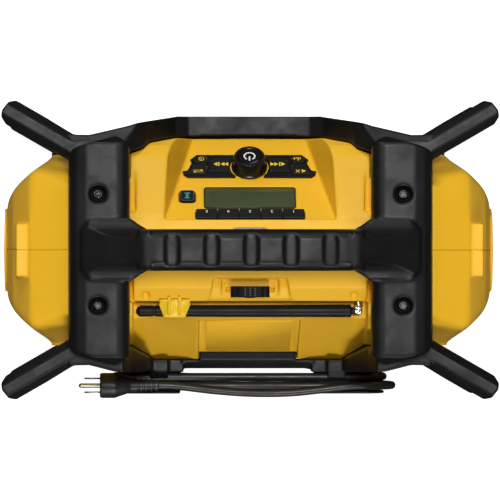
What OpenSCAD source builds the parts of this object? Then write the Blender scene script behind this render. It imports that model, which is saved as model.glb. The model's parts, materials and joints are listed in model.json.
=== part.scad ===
// Jobsite radio: a moulded housing inside a bumper cage, in millimetres.
// The front faces -Y and the top +Z. The origin is on the ground under the middle.

/* [Overall] */
// Width over the four bumper arms
overall_w = 444.5; // [440:0.5:456]
// Depth over the four bumper arms
overall_d = 267.5; // [264:0.5:280]
// Height to the top of the carrying grip
overall_h = 290; // [286:1:300]

/* [Housing] */
// Level of the underside of the housing
housing_bottom = 26; // [24:1:28]
// Level of the flat top of the housing
housing_top = 236; // [233:1:239]
// Distance from the middle to the flat front and back of the side pods
pod_front = 86; // [84:0.5:87]
// Half width of the housing without its end plates
pod_reach = 219.2; // [215:0.2:220]
// Half depth of the flat end of a pod
pod_end = 38; // [34:1:44]
// Width of the sloping top edge of a pod, seen from above
pod_slope = 28; // [26:1:30]
// Thickness of a pod's end plate
end_plate_t = 2.6; // [2:0.2:3]
// Wall left between a chamber and the outside
wall = 5; // [4:0.5:6]
// Distance from the middle to the front of the control console
console_front = 100.7; // [99:0.1:101.5]
// Half width of the console and the back between the two cage bars
console_half = 107; // [106:0.5:107]
// Half width of the outer edge of the cheeks beside the control panel
cheek_out = 102; // [100:0.5:103]
// Depth of the groove between a cheek and its cage bar
cheek_groove = 8; // [4:1:12]

/* [Control panel] */
// Slope of the control panel above level
panel_tilt = 48; // [46:1:49]
// Distance of the panel's upper edge in front of the middle
panel_top_y = 26; // [25:0.5:27]
// Half width of the panel at its lower edge
panel_low_half = 51; // [50:0.5:53]
// Half width of the panel at its upper edge
panel_high_half = 77; // [76:0.5:79]
// Thickness of the wall behind the panel
panel_wall = 5; // [4.5:0.5:6]
// Distance from the panel's surface down to the control board
board_depth = 8.8; // [8.6:0.2:9.6]
// Gap around each key
key_gap = 0.4; // [0.35:0.05:0.5]
// Travel of each key
key_travel = 1; // [0.8:0.1:1]
// Height of a key above the panel
key_rise = 2.2; // [1.8:0.2:3]
// Width of the display window
window_w = 82.4; // [76:0.2:84]
// Height of the display window
window_h = 28.5; // [26:0.5:29]
// Thickness of the display window
window_t = 1.6; // [1.2:0.2:2]
// Width of the row of station keys
preset_w = 97; // [90:1:98]
// Height of a station key
preset_h = 11.8; // [10:0.2:12]
// Width of the source key
source_w = 13.9; // [12:0.1:15]
// Height of the source key
source_h = 15.4; // [13:0.1:16]
// Thickness of the two dark keypad plates
keypad_t = 1.4; // [1:0.2:1.6]
// Diameter of the knob at its foot
knob_d = 32.5; // [31:0.5:34]
// Diameter of the knob at its top
knob_top_d = 29; // [28:0.5:30]
// Height of the knob
knob_h = 14; // [13:0.5:16]
// Number of finger flutes round the knob
knob_flutes = 18; // [12:1:24]
// Diameter of the power button in the knob
power_d = 20.6; // [18:0.2:21]
// Diameter of the sleeve that the knob turns on
sleeve_d = 9; // [8:0.5:10]

/* [Speakers] */
// Distance from the middle to the centre of a speaker
speaker_x = 123; // [122:0.5:124]
// Level of the centre of a speaker
speaker_z = 122; // [118:1:124]
// Diameter of a speaker's grille
grille_d = 112; // [108:1:114]
// Diameter of the cone with its surround
cone_d = 88; // [80:1:90]
// Diameter of a perforation in the grille
hole_d = 5; // [4.4:0.2:5.4]
// Distance between two perforations
hole_pitch = 8; // [7.6:0.2:10]

// Diameter of a speaker's magnet
magnet_d = 60; // [50:1:64]
// Thickness of a speaker's magnet
magnet_t = 18; // [12:1:20]
// Depth of a speaker behind its mounting ring
speaker_depth = 44; // [40:1:46]

/* [Electronics] */
// Width of the main board and of the power supply
board_w = 88; // [80:1:90]
// Level of the upper edge of the main board
board_top = 118; // [110:1:118]
// Distance of the main board in front of the middle
board_front = 70; // [69:0.5:71]
// Thickness of a circuit board
board_t = 1.6; // [1.2:0.2:1.6]
// Depth of the power supply from front to back
supply_d = 54; // [44:1:54]
// Height of the power supply
supply_h = 24; // [20:1:30]
// Width of the contact block for the battery
terminal_w = 56; // [50:1:60]
// Height of the contact block for the battery
terminal_h = 42; // [36:1:46]

/* [Roll cage] */
// Half width of the cage at the inner edge of a bar
bar_in = 107.5; // [107.5:0.5:109]
// Half width of the cage at the outer edge of a bar
bar_out = 162; // [160:0.5:164]
// Distance from the middle to the point of a bar's end
bar_end = 101.6; // [99:0.2:102]
// Level of the top of a bar
bar_top = 262; // [258:1:264]
// Thickness of the grip
grip_t = 24; // [22:1:26]
// Depth of the grip from front to back
grip_d = 37; // [34:1:38]
// Distance between two grooves in the grip
groove_pitch = 35; // [30:0.5:36]
// Thickness of the upper arms
arm_t = 30; // [28:1:31]
// Width of an arm, measured across it
arm_w = 22; // [20:0.5:23]
// Level of the top of the front beam's lowered middle
beam_top = 154; // [148:1:158]
// Thickness of the front beam
beam_t = 20; // [16:1:24]
// Distance of the front beam's outer edge from the middle
beam_front = 121; // [120:0.5:124]
// Depth of the front beam from front to back
beam_d = 17.2; // [15:0.1:18]
// Thickness of the rubber feet
foot_t = 5; // [4:0.5:6]
// Length of a rubber foot
foot_l = 34; // [30:1:36]
// Width of a rubber foot
foot_w = 13; // [12.5:0.5:14]

/* [Rear door and latch] */
// Half width of the rear door
door_half = 45; // [43:0.5:46]
// Level of the ledge that the antenna lies over
ledge_z = 200; // [199:0.5:201]
// Distance of the door hinge's axis behind the middle
hinge_y = 89.7; // [89.5:0.1:90]
// Level of the door hinge's axis
hinge_z = 100.5; // [100:0.5:103]
// Lean of the closed door towards the front
door_lean = 17.6; // [17:0.1:18]
// Height of the door above its hinge
door_h = 96; // [90:1:97]
// Thickness of the door
door_t = 5; // [4:0.5:5.5]
// Diameter of the two hinge pins
hinge_pin_d = 3; // [2.5:0.1:3]
// Width of the latch
latch_w = 34.6; // [30:0.2:36]
// Travel of the latch
latch_travel = 5; // [4:0.5:5]
// Inside height of the battery bay
bay_h = 78; // [70:1:80]

/* [Antenna] */
// Distance of the antenna's fold pin from the middle
antenna_x = 97.4; // [97:0.1:98]
// Distance of the antenna's axis behind the middle
antenna_y = 54.6; // [54.4:0.1:55]
// Length of the antenna from its fold pin
antenna_l = 199.4; // [180:0.2:200]
// Diameter of the antenna at its thick end
antenna_d = 11.4; // [10.6:0.1:11.6]
// Diameter of the antenna at its tip
antenna_tip_d = 10; // [9:0.1:10.6]

/* [Cord and plug] */
// Diameter of the power cord
cord_d = 7.5; // [7:0.1:7.6]
// Distance between two turns side by side on the cord hooks
turn_pitch = 8.1; // [8.1:0.1:8.4]
// Distance of the first turn's centre behind the middle
turn_y = 116.6; // [116.4:0.1:117]
// Half of the straight part of a turn
turn_run = 94; // [90:1:95]
// Bend radius of the inner turns
turn_r = 28; // [27:0.5:28]
// Level of the middle of the turns
turn_z = 55; // [54:0.5:57]
// Diameter of the plug's body
plug_d = 23; // [21:0.5:24]

/* [Fasteners] */
// Distance from the middle to the cage screws, sideways
cage_screw_x = 135.7; // [132:0.1:140]
// Distance from the middle to the cage screws, front to back
cage_screw_y = 49.5; // [46:0.5:51]
// Diameter of a cage screw's head
screw_head_d = 9; // [8:0.5:10]
// Diameter of a screw's shank
screw_d = 5; // [4:0.5:5.5]

/* [Hidden] */
$fn = 64;

// Colours
yellow = "#ebbe37";
black = "#303133";
rubber = "#222325";
steel = "#b9bcc0";
board_green = "#2f6b3c";

// Fixed by what the radio is: five stations, blades to the mains standard, the battery's contacts
preset_count = 5;
blade_pitch = 12.7;
contact_pitch = 12;

// General clearances
fit = 0.3;       // between pieces that lie in one another
air = 0.05;      // round a shaft that turns in its bore
over = 1;        // how far a cut runs past the face it opens

// Cage
reach_x = overall_w / 2;
reach_y = overall_d / 2;
arm_angle = 30;
arm_root_x = bar_out + 1.9;
arm_root_y = 94;
grip_bottom = overall_h - grip_t;
grip_half = grip_d / 2;
bar_t = bar_top - housing_top;
cage_seat = bar_top - 13;

// Housing
housing_mid = (housing_top + housing_bottom) / 2;
pod_shoulder = 178;
pod_crease = pod_reach - 22;
end_plate_half = 19.6;
ledge_front = 45.8;
ledge_back = 61;
pillar_foot_y = 100;
pillar_foot_z = 92;
scoop_r = 64;
scoop_depth = 4.4;

// Panel
panel_top_z = housing_top - 1;
panel_l = (console_front - panel_top_y) / cos(panel_tilt);
panel_low_z = panel_top_z - panel_l * sin(panel_tilt);
panel_lean = (panel_high_half - panel_low_half) / (housing_top - panel_low_z);
knob_s = 71.9;
window_s = 31.5;
preset_s = 8.8;
source_s = 32.9;
source_x = 56.1;
key_l = key_rise + board_depth - key_travel - 0.2;
well_depth = board_depth - 0.1;
well_d = power_d + 2 * fit;
keypad_hole_r = knob_d / 2 + 1.2;

// Rear
door_top_half = door_half + fit;
bay_half = door_half - 6;
hinge_r = 3.2;
bay_front = 14;
latch_y = 37.35;
latch_d = 9.9;
latch_floor = 221;
latch_stem = 10;
latch_back = latch_y + latch_d / 2;
latch_stem_y = latch_back - 4;
latch_ridge = 11.2;
tongue_z = hinge_z + 4.5 + bay_h;
// the tongue stops just short of the closed door's inner face
tongue_end = hinge_y - (tongue_z + 4 - hinge_z) * tan(door_lean) - (door_t - 3) / cos(door_lean) - fit;

// Antenna
antenna_z = ledge_z + antenna_d / 2 + 0.5;
whip_start = 6.4;

// Cord
far_run = turn_run + 3.4;
inner_turns = 1.63;
outer_r = turn_r + turn_pitch;
core_r = turn_r - cord_d / 2 - 0.5;
cord_exit = [32, 104, turn_z - turn_r];
boot_end = [81.7, 124, turn_z + turn_r + 16.5];
last_turn = 2.37;

// Keypad outline: distance from the middle, distance down the panel
keypad_outline = [
  [12.6, 88.2], [47.4, 88.2], [53.5, 81.4], [52, 77.2], [55.7, 67],
  [60.3, 65.7], [59.4, 60.8], [55.7, 57.3], [12.6, 57.3]
];
seek_outline = [[15, 82.2], [33.4, 82.2], [36.2, 64.7], [15, 64.7]];
low_key_outline = [[38.6, 86], [46.4, 86], [50.8, 81], [49.2, 77.2], [38.6, 77.2]];
high_key_outline = [[38.6, 74.4], [50.2, 74.4], [53, 66.4], [56.4, 61], [38.6, 61]];

// ---------- helpers ----------

// Both sides of the middle plane
module both() {
  children();
  mirror([1, 0, 0]) children();
}

// As drawn for side 1, mirrored for side -1
module on_side(side) {
  if (side > 0) children();
  else mirror([1, 0, 0]) children();
}

// Front and back
module front_and_back() {
  children();
  mirror([0, 1, 0]) children();
}

// A (y, z) outline run along X
module side_prism(points, x0, x1)
  translate([x0, 0, 0]) rotate([90, 0, 90]) linear_extrude(x1 - x0) polygon(points);

// An (x, z) outline run along Y
module front_prism(points, y0, y1)
  translate([0, y1, 0]) rotate([90, 0, 0]) linear_extrude(y1 - y0) polygon(points);

// An (x, y) outline run up along Z
module plan_prism(points, z0, z1)
  translate([0, 0, z0]) linear_extrude(z1 - z0) polygon(points);

module block(low, high) translate(low) cube(high - low);

// The right half of an outline and its mirror image, as one closed outline
function mirrored(points) =
  concat(points, [for (i = [len(points) - 1 : -1 : 0]) [-points[i][0], points[i][1]]]);

// Local frame on the control panel: x across, y up the slope, z out of it
module on_panel(x, s)
  translate([x, -panel_top_y - s * cos(panel_tilt), panel_top_z - s * sin(panel_tilt)])
    rotate([panel_tilt, 0, 0]) children();

// Local frame of the closed rear door: y out of it, z up along it
module on_door() translate([0, hinge_y, hinge_z]) rotate([door_lean, 0, 0]) children();

// A rounded rectangle of the given size, centred, run from z0 to z1
module pad(w, h, r, z0, z1)
  translate([0, 0, z0]) linear_extrude(z1 - z0) union() {
    square([w - 2 * r, h], center = true);
    square([w, h - 2 * r], center = true);
    for (x = [-1, 1], y = [-1, 1])
      translate([x * (w / 2 - r), y * (h / 2 - r)]) circle(r, $fn = 32);
  }

// A cylinder along Y from y0 to y1
module rod_y(d, y0, y1) translate([0, y1, 0]) rotate([90, 0, 0]) cylinder(d = d, h = y1 - y0);

// A cylinder along X from x0 to x1
module rod_x(d, x0, x1) translate([x0, 0, 0]) rotate([0, 90, 0]) cylinder(d = d, h = x1 - x0);

// ---------- housing ----------

// Rounded plan of a pod's end, from its shoulder to its end plate
function pod_curve(sign) = [
  for (i = [0 : 6]) [
    pod_shoulder + (pod_reach - pod_shoulder) * sin(15 * i),
    sign * (pod_front - 3.5 - (pod_front - 3.5 - pod_end) * i / 6)
  ]
];

pod_plan = concat(
  [[0, -pod_front], [pod_shoulder, -pod_front]], pod_curve(-1),
  [for (i = [6 : -1 : 0]) pod_curve(1)[i]], [[pod_shoulder, pod_front], [0, pod_front]]
);

pod_face = [
  [0, housing_bottom], [bar_out + 2, housing_bottom], [pod_crease, housing_bottom + 22],
  [pod_reach - 6, housing_bottom + 54], [pod_reach, housing_mid - 20],
  [pod_reach, housing_mid + 20], [pod_reach - 6, housing_top - 54],
  [pod_crease, housing_top - 22], [bar_out + 2, housing_top], [0, housing_top]
];

pod_side = [
  [-pod_front, housing_bottom + 46], [-pod_front, housing_top - 46],
  [-pod_front + pod_slope, housing_top], [pod_front - pod_slope, housing_top],
  [pod_front, housing_top - 46], [pod_front, housing_bottom + 46],
  [pod_front - pod_slope, housing_bottom], [-pod_front + pod_slope, housing_bottom]
];

core_plan = [
  [0, -console_front], [65, -console_front], [90, -console_front + 4.9],
  [96, -console_front + 10.5], [console_half, -pod_front], [console_half, pod_front],
  [91.5, pillar_foot_y - 4.4], [86.5, pillar_foot_y], [0, pillar_foot_y]
];

core_side = [
  [-console_front, housing_bottom + 8], [-console_front, housing_top - 36],
  [-console_front + 7, housing_top - 20], [-console_front + 17, housing_top - 10],
  [-panel_top_y - 4, housing_top], [18, housing_top], [34, housing_top - 5],
  [ledge_front, housing_top - 16], [ledge_front, ledge_z], [ledge_back, ledge_z],
  [pillar_foot_y, pillar_foot_z], [pillar_foot_y, 44],
  [pillar_foot_y - 10, housing_bottom], [-console_front + 8, housing_bottom]
];

// The raised block on the flank of each pod
module pod_pad()
  intersection() {
    plan_prism(pod_plan, housing_mid - 60, housing_top);
    block([pod_crease - 4.8, -23.8, housing_mid - 40], [pod_crease + 12.3, 23.8, housing_top - 24]);
  }

module housing_solid()
  union() {
    both() intersection() {
      plan_prism(pod_plan, housing_bottom, housing_top);
      front_prism(pod_face, -pod_front - over, pod_front + over);
      side_prism(pod_side, console_half - 2, pod_reach + over);
    }
    intersection() {
      plan_prism(mirrored(core_plan), housing_bottom, housing_top);
      side_prism(core_side, -console_half - over, console_half + over);
    }
    both() pod_pad();
  }

// The sunk control panel between its two leaning walls
module panel_recess() {
  low = panel_low_z - 30;
  low_half = panel_low_half - 30 * panel_lean;
  high_half = panel_high_half + 10 * panel_lean;
  intersection() {
    front_prism(mirrored([[low_half, low], [high_half, housing_top + 10]]), -140, 0);
    on_panel(0, 0) translate([-100, -150, 0]) cube([200, 150, 120]);
  }
}

module cheek_grooves()
  both() block([cheek_out, -140, housing_top - cheek_groove], [bar_in + over, -34, housing_top + over]);

// The narrow groove between the back and each cage bar
module shoulder_grooves()
  both() block([cheek_out + 2, 26, latch_floor - 5], [bar_in + over, ledge_front + over, housing_top + over]);

// Chamber for the electronics, which follows the slope of the panel
module console_chamber() {
  half = panel_low_half + 8;
  floor_z = housing_bottom + wall;
  ceiling = housing_top - wall - 1;
  under_panel = panel_top_z - panel_wall / cos(panel_tilt);
  front = console_front - wall - 3;
  side_prism([
    [-front, floor_z], [over, floor_z], [over, ceiling],
    [-panel_top_y + (ceiling - under_panel) / tan(panel_tilt), ceiling],
    [-front, under_panel - (front - panel_top_y) * tan(panel_tilt)]
  ], -half, half);
}

module speaker_chambers()
  both() {
    translate([speaker_x, 0, speaker_z]) {
      rod_y(grille_d + 2 * fit, -pod_front - 20, -pod_front + 2.2);
      rod_y(cone_d + 16, -pod_front, -pod_front + 10);
    }
    block([panel_low_half + 24, -pod_front + 9, 60], [pod_shoulder - wall, over, 190]);
  }

module panel_openings() {
  on_panel(0, window_s) pad(window_w + 2 * fit, window_h + 2 * fit, 3, -window_t - fit, over);
  on_panel(0, window_s) pad(window_w - 8, window_h - 6, 1.5, -panel_wall - over, over);
  on_panel(0, preset_s)
    pad(preset_w + 2 * key_gap, preset_h + 2 * key_gap, 2, -well_depth, over);
  on_panel(source_x, source_s)
    pad(source_w + 2 * key_gap, source_h + 2 * key_gap, 3, -well_depth, over);
  on_panel(0, knob_s) translate([0, 0, -panel_wall - over])
    cylinder(d = sleeve_d + 2 * fit, h = panel_wall + 2 * over);
  both() key_wells(over);
}

// A shape drawn in distances from the middle and down the panel, run from z0 to z1
module panel_shape(points, z0, z1)
  on_panel(0, 0) translate([0, 0, z0]) linear_extrude(z1 - z0) polygon([for (p = points) [p[0], -p[1]]]);

// An outline grown outwards by a gap, for straight-edged convex shapes
function centre_of(points) = [for (k = [0, 1]) let (v = [for (p = points) p[k]]) (max(v) + min(v)) / 2];
function grown(points, gap) = let (c = centre_of(points), v = [for (p = points) p - c])
  [for (p = v) c + [p[0] + sign(p[0]) * gap, p[1] + sign(p[1]) * gap]];

module knob_clear(r) on_panel(0, knob_s) translate([0, 0, -30]) cylinder(r = r, h = 60);

module key_wells(rise)
  for (points = [seek_outline, low_key_outline, high_key_outline])
    difference() {
      panel_shape(grown(points, key_gap), -well_depth, rise);
      knob_clear(keypad_hole_r + 1.2 - key_gap);
    }

module cage_screw_holes(d, z0, z1)
  both() front_and_back()
    translate([cage_screw_x, cage_screw_y, z0]) cylinder(d = d, h = z1 - z0);

shell_screw_x = pod_shoulder + 6.5;
shell_screw_y = 24;
shell_screw_l = 36;

// Holes for the screws that hold the two shells together, from y0 to y1
module shell_screw_holes(d, y0, y1)
  both() for (z = [housing_mid - 47, housing_mid + 47]) translate([shell_screw_x, 0, z]) rod_y(d, y0, y1);

// The room that one of the two shells takes up, from y0 to y1
module shell_half(y0, y1) block([-pod_reach - over, y0, 0], [pod_reach + over, y1, housing_top + over]);

module front_shell()
  color(yellow) difference() {
    intersection() {
      housing_solid();
      shell_half(-console_front - over, 0);
    }
    panel_recess();
    cheek_grooves();
    console_chamber();
    speaker_chambers();
    panel_openings();
    top_plate_seat();
    cage_screw_holes(screw_d + 2 * air, housing_top - 24, housing_top + over);
    base_screw_holes(screw_d + 2 * air, housing_bottom + 24);
    shell_screw_holes(screw_d + 2 * air, shell_screw_y - shell_screw_l - 2, over);
  }

// The pocket behind the door, open to the back
module battery_bay()
  side_prism([
    [bay_front, hinge_z + 6], [bay_front, hinge_z + 6 + bay_h],
    [hinge_y, hinge_z + 6 + bay_h], [hinge_y + 20, hinge_z + 6]
  ], -bay_half, bay_half);

// A point given in the closed door's frame, as (y, z) of the radio
function door_point(y, z) =
  [hinge_y + y * cos(door_lean) - z * sin(door_lean), hinge_z + y * sin(door_lean) + z * cos(door_lean)];

module door_seat() {
  back = 3 - door_t - fit;
  foot = hinge_z - 44;
  side_prism([
    door_point(back, door_h + 0.4), door_point(back, -1), [hinge_y - fit, hinge_z - 2], [hinge_y - fit, foot],
    [pillar_foot_y + 10, foot], [pillar_foot_y + 10, hinge_z], door_point(30, door_h + 0.4)
  ], -door_top_half, door_top_half);
  translate([0, hinge_y, hinge_z]) rod_x(2 * (hinge_r + 0.4), -door_top_half, door_top_half);
}

module latch_slots() {
  recess_half = 25.8;
  pad_half = latch_w / 2;
  block([-recess_half, 25.8, latch_floor], [recess_half, latch_back + fit, housing_top + over]);
  block([-latch_stem / 2 - fit, latch_stem_y - latch_travel - fit, hinge_z + bay_h],
        [latch_stem / 2 + fit, latch_back + fit, latch_floor + over]);
  block([-latch_stem / 2 - fit, latch_stem_y - latch_travel - fit, tongue_z - fit],
        [latch_stem / 2 + fit, ledge_back, tongue_z + 4 + fit]);
  both()
    block([pad_half + 0.7, latch_y - 4.6, latch_floor - 4], [pad_half + 4.5, latch_y, latch_floor + over]);
}

module rear_shell()
  color(yellow) difference() {
    intersection() {
      housing_solid();
      shell_half(0, pillar_foot_y + over);
    }
    both() block([15, -over, 44], [pod_shoulder - wall, bay_front + 40, hinge_z - 8]);
    both() block([bay_half + wall, -over, hinge_z - 10], [pod_shoulder - wall, 50, ledge_z - 14]);
    battery_bay();
    door_seat();
    latch_slots();
    rear_notch();
    antenna_bush_hole();
    shell_screw_holes(screw_d + 2 * air, -over, shell_screw_y);
    shell_screw_holes(screw_head_d + 1, shell_screw_y, pod_front + over);
    shoulder_grooves();
    both() shoulder_dimple();
    both() pillar_scoop();
    for (x = [-1, 1]) translate([x * (door_half + 2.8), hinge_y, hinge_z])
      rod_x(hinge_pin_d + 2 * air, -4, 4);
    cage_screw_holes(screw_d + 2 * air, housing_top - 24, housing_top + over);
    base_screw_holes(screw_d + 2 * air, housing_bottom + 24);
  }

// The sunk field round the latch
module rear_notch()
  intersection() {
    plan_prism(mirrored([[32.7, 24], [36, latch_back], [40, ledge_front + over]]),
               ledge_z, housing_top + over);
    side_prism([
      [24, housing_top + 2], [25.6, latch_floor + 6], [34, latch_floor + 4.4],
      [latch_back + 0.8, latch_floor - 0.6],
      [ledge_front + over, latch_floor - 7], [ledge_front + over, housing_top + 2]
    ], -44, 44);
  }

// Half-round hollow in the shoulder beside each cage bar
module shoulder_dimple()
  translate([93, 35.6, housing_top - 11]) rotate([-98, 0, 0]) cylinder(d1 = 5, d2 = 9.6, h = 14);

// The long hollow down the pillar beside the door
module pillar_scoop() {
  slope = atan((pillar_foot_y - ledge_back) / (ledge_z - pillar_foot_z));
  translate([71, ledge_back, ledge_z]) rotate([slope, 0, 0])
    translate([0, scoop_r - scoop_depth, -140]) cylinder(r = scoop_r, h = 150, $fn = 96);
}

module antenna_bush_hole()
  translate([-antenna_x, 0, antenna_z]) rod_y(8, 36, ledge_front + over);

module end_plate(side)
  color(yellow) on_side(side) intersection() {
    plan_prism([
      [pod_reach, -pod_end + 0.4], [pod_reach + end_plate_t - 0.7, -pod_end + 0.4],
      [pod_reach + end_plate_t - 0.3, -pod_end / 2], [pod_reach + end_plate_t, 0],
      [pod_reach + end_plate_t - 0.3, pod_end / 2],
      [pod_reach + end_plate_t - 0.7, pod_end - 0.4], [pod_reach, pod_end - 0.4]
    ], housing_mid - 40, housing_mid + 40);
    translate([0, 0, housing_mid])
      side_prism([
        [-pod_end, -6], [-pod_end + 8, -end_plate_half], [pod_end - 8, -end_plate_half], [pod_end, -6],
        [pod_end, 6], [pod_end - 8, end_plate_half], [-pod_end + 8, end_plate_half], [-pod_end, 6]
      ], 0, pod_reach + end_plate_t + over);
  }

module end_plate_left() end_plate(1);
module end_plate_right() end_plate(-1);

// ---------- roll cage ----------

bar_plan = [
  [bar_in, -bar_end + 9], [bar_in + 5.5, -bar_end + 3.4], [bar_in + 12.5, -bar_end],
  [bar_out - 10, -bar_end + 9], [bar_out - 3, -bar_end + 12.4], [bar_out, -bar_end + 17.4]
];

// Cross-section of a bar: rounded shoulders, the crest near its inner edge
bar_face = [
  [bar_in, housing_top], [bar_in, bar_top - 9], [bar_in + 1.6, bar_top - 4.6],
  [bar_in + 5.4, bar_top - 1.4], [bar_in + 12, bar_top], [bar_out - 16, bar_top - 0.6],
  [bar_out - 7, bar_top - 2.8], [bar_out - 1.8, bar_top - 7.2], [bar_out, bar_top - 14],
  [bar_out, housing_top]
];

// The front half of an (x, y) outline and its mirror image to the back, as one closed outline
function doubled(points) =
  concat(points, [for (i = [len(points) - 1 : -1 : 0]) [points[i][0], -points[i][1]]]);

module bar()
  intersection() {
    plan_prism(doubled(bar_plan), housing_top, bar_top);
    front_prism(bar_face, -bar_end - over, bar_end + over);
    side_prism([
      [-bar_end, housing_top], [-bar_end, bar_top - 16], [-bar_end + 6, bar_top],
      [bar_end - 6, bar_top], [bar_end, bar_top - 16], [bar_end, housing_top]
    ], bar_in - over, bar_out + over);
  }

// Where the handle lies over a bar and flares into it
handle_plan = [
  [0, -grip_half], [bar_in - 16, -grip_half], [bar_in, -grip_half - 9.8],
  [bar_in + 35, -grip_half - 7.2], [bar_in + 43, -grip_half + 1]
];
handle_face = [
  [0, grip_bottom], [bar_in - 22, grip_bottom], [bar_in - 8, grip_bottom - 4],
  [bar_in + 1, bar_top - 14], [bar_in + 43, bar_top - 14], [bar_in + 43, bar_top + 1],
  [bar_in + 14, overall_h - 14], [bar_in - 12, overall_h - 1.5], [bar_in - 24, overall_h], [0, overall_h]
];
// Cross-section of the grip, rounded more on top
grip_side = [
  [-grip_half, grip_bottom + 6], [-grip_half, overall_h - 9], [-grip_half + 2.6, overall_h - 3.6],
  [-grip_half + 7.5, overall_h], [grip_half - 7.5, overall_h], [grip_half - 2.6, overall_h - 3.6],
  [grip_half, overall_h - 9], [grip_half, grip_bottom + 6], [grip_half - 6, grip_bottom],
  [-grip_half + 6, grip_bottom]
];

module handle_end()
  difference() {
    intersection() {
      plan_prism(doubled(handle_plan), housing_top, overall_h);
      front_prism(handle_face, -60, 60);
      block([bar_in - 18, -60, 0], [reach_x, 60, overall_h]);
    }
    front_and_back() handle_scoop();
  }

// The hollow on either side of the handle's end
module handle_scoop()
  intersection() {
    side_prism([
      [-60, bar_top + 0.8], [-grip_half - 6, bar_top + 0.8], [-grip_half, bar_top + 5], [-14, bar_top + 10],
      [-11, overall_h - 9], [-10.5, overall_h + over], [-60, overall_h + over]
    ], bar_in - 22, bar_out);
    plan_prism([
      [bar_in - 19, -60], [bar_in - 19, -grip_half - 0.4], [bar_in - 3, -10], [bar_out + over, -10],
      [bar_out + over, -60]
    ], 0, overall_h + 2 * over);
  }

module grip()
  difference() {
    intersection() {
      side_prism(grip_side, -bar_in + 8, bar_in - 8);
      front_prism(mirrored(handle_face), -60, 60);
    }
    for (i = [-2 : 2]) translate([i * groove_pitch, 0, 0])
      pad(12.8, 30, 6.2, overall_h - 2.6, overall_h + over);
  }

module top_frame()
  color(black) difference() {
    union() {
      both() bar();
      both() handle_end();
      grip();
    }
    cage_screw_holes(15, cage_seat, bar_top + over);
    cage_screw_holes(screw_d + 0.8, housing_top - over, bar_top);
  }

// Plan of one bumper arm out of the corner: pointed tip, bevelled corners
arm_plan = [
  [arm_root_x - 16, -arm_root_y - 7.8], [arm_root_x - 8.8, -arm_root_y - 7.8], [arm_root_x, -arm_root_y - 13],
  [reach_x - 14.6, -reach_y], [reach_x - 6.6, -reach_y + 1.5], [reach_x - 0.7, -reach_y + 9],
  [reach_x, -reach_y + 15], [reach_x - 4, -reach_y + 21.5],
  [arm_root_x, -arm_root_y + 13], [arm_root_x - 5, -arm_root_y + 15.5], [arm_root_x - 16, -arm_root_y + 15.5]
];

// An arm with bevelled edges between two levels
module arm(z0, z1)
  intersection() {
    plan_prism(arm_plan, z0, z1);
    translate([arm_root_x, -arm_root_y, (z0 + z1) / 2]) rotate([0, 0, -arm_angle]) rotate([90, 0, 90])
      translate([0, 0, -60]) linear_extrude(180) polygon(bevelled(arm_w + 1.6, z1 - z0, 7));
  }

// A rectangle with bevelled corners, centred
function bevelled(w, h, b) = [
  [-w / 2, -h / 2 + b], [-w / 2, h / 2 - b], [-w / 2 + b, h / 2], [w / 2 - b, h / 2],
  [w / 2, h / 2 - b], [w / 2, -h / 2 + b], [w / 2 - b, -h / 2], [-w / 2 + b, -h / 2]
];

// Plan of the band that joins an arm to the beam across the front
band_plan = [
  [0, -beam_front], [65, -beam_front], [bar_in - 6, -beam_front + 7.6], [bar_in + 1.2, -beam_front + 10],
  [arm_root_x - 20, -arm_root_y - 8.7], [arm_root_x - 8, -arm_root_y - 9], [arm_root_x - 2, -arm_root_y - 10],
  [arm_root_x - 2, -arm_root_y + 15.4], [bar_in + 3, -pod_front - 1.6], [bar_in, -pod_front - 2],
  [96, -console_front + 9.2], [90, -console_front + 3.7], [65, -beam_front + beam_d + 1.2],
  [0, -beam_front + beam_d]
];

arm_top = housing_top;
arm_low = arm_top - arm_t;

// Front view of the front beam: it dips in the middle and climbs to the bars
beam_edge = [[0, beam_top - beam_t], [60, beam_top - beam_t], [84, arm_low - 44], [bar_in + 2, arm_low - 2]];
beam_face = concat(beam_edge, [
  [bar_in + 8, arm_low], [reach_x, arm_low], [reach_x, arm_top - 0.2], [bar_in + 4, arm_top - 0.2],
  [bar_in - 5, arm_top - 6], [bar_in - 14, arm_top - 16], [67, beam_top + 7], [55, beam_top], [0, beam_top]
]);

module front_bumper()
  color(black) difference() {
    union() {
      intersection() {
        plan_prism(mirrored(band_plan), 0, overall_h);
        front_prism(mirrored(beam_face), -reach_y - over, 0);
        side_prism([
          [-beam_front, 0], [-beam_front, arm_top - 12], [-arm_root_y, arm_top + 1.3],
          [0, arm_top + 1.3], [0, 0]
        ], -reach_x, reach_x);
      }
      beam_flange();
      both() arm(arm_low, arm_top);
    }
    housing_keepout();
  }

// Low flange of the front beam that reaches to the housing
module beam_flange()
  intersection() {
    plan_prism(mirrored(concat(
      [for (i = [0 : 4]) core_plan[i] + [0.2, -fit]],
      [[bar_in + 3, -pod_front - 3], [96, -console_front + 7], [90, -console_front + 2],
       [65, -beam_front + beam_d - 1], [0, -beam_front + beam_d - 1]]
    )), 0, overall_h);
    front_prism(mirrored(concat(beam_edge, [for (i = [3 : -1 : 0]) beam_edge[i] + [0, 8]])), -reach_y, 0);
  }

// The housing's own corners stay clear of the cage
module housing_keepout()
  both() block([0, -pod_front - 0.6, 0], [pod_reach, pod_front + 0.6, arm_low - 4]);

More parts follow.
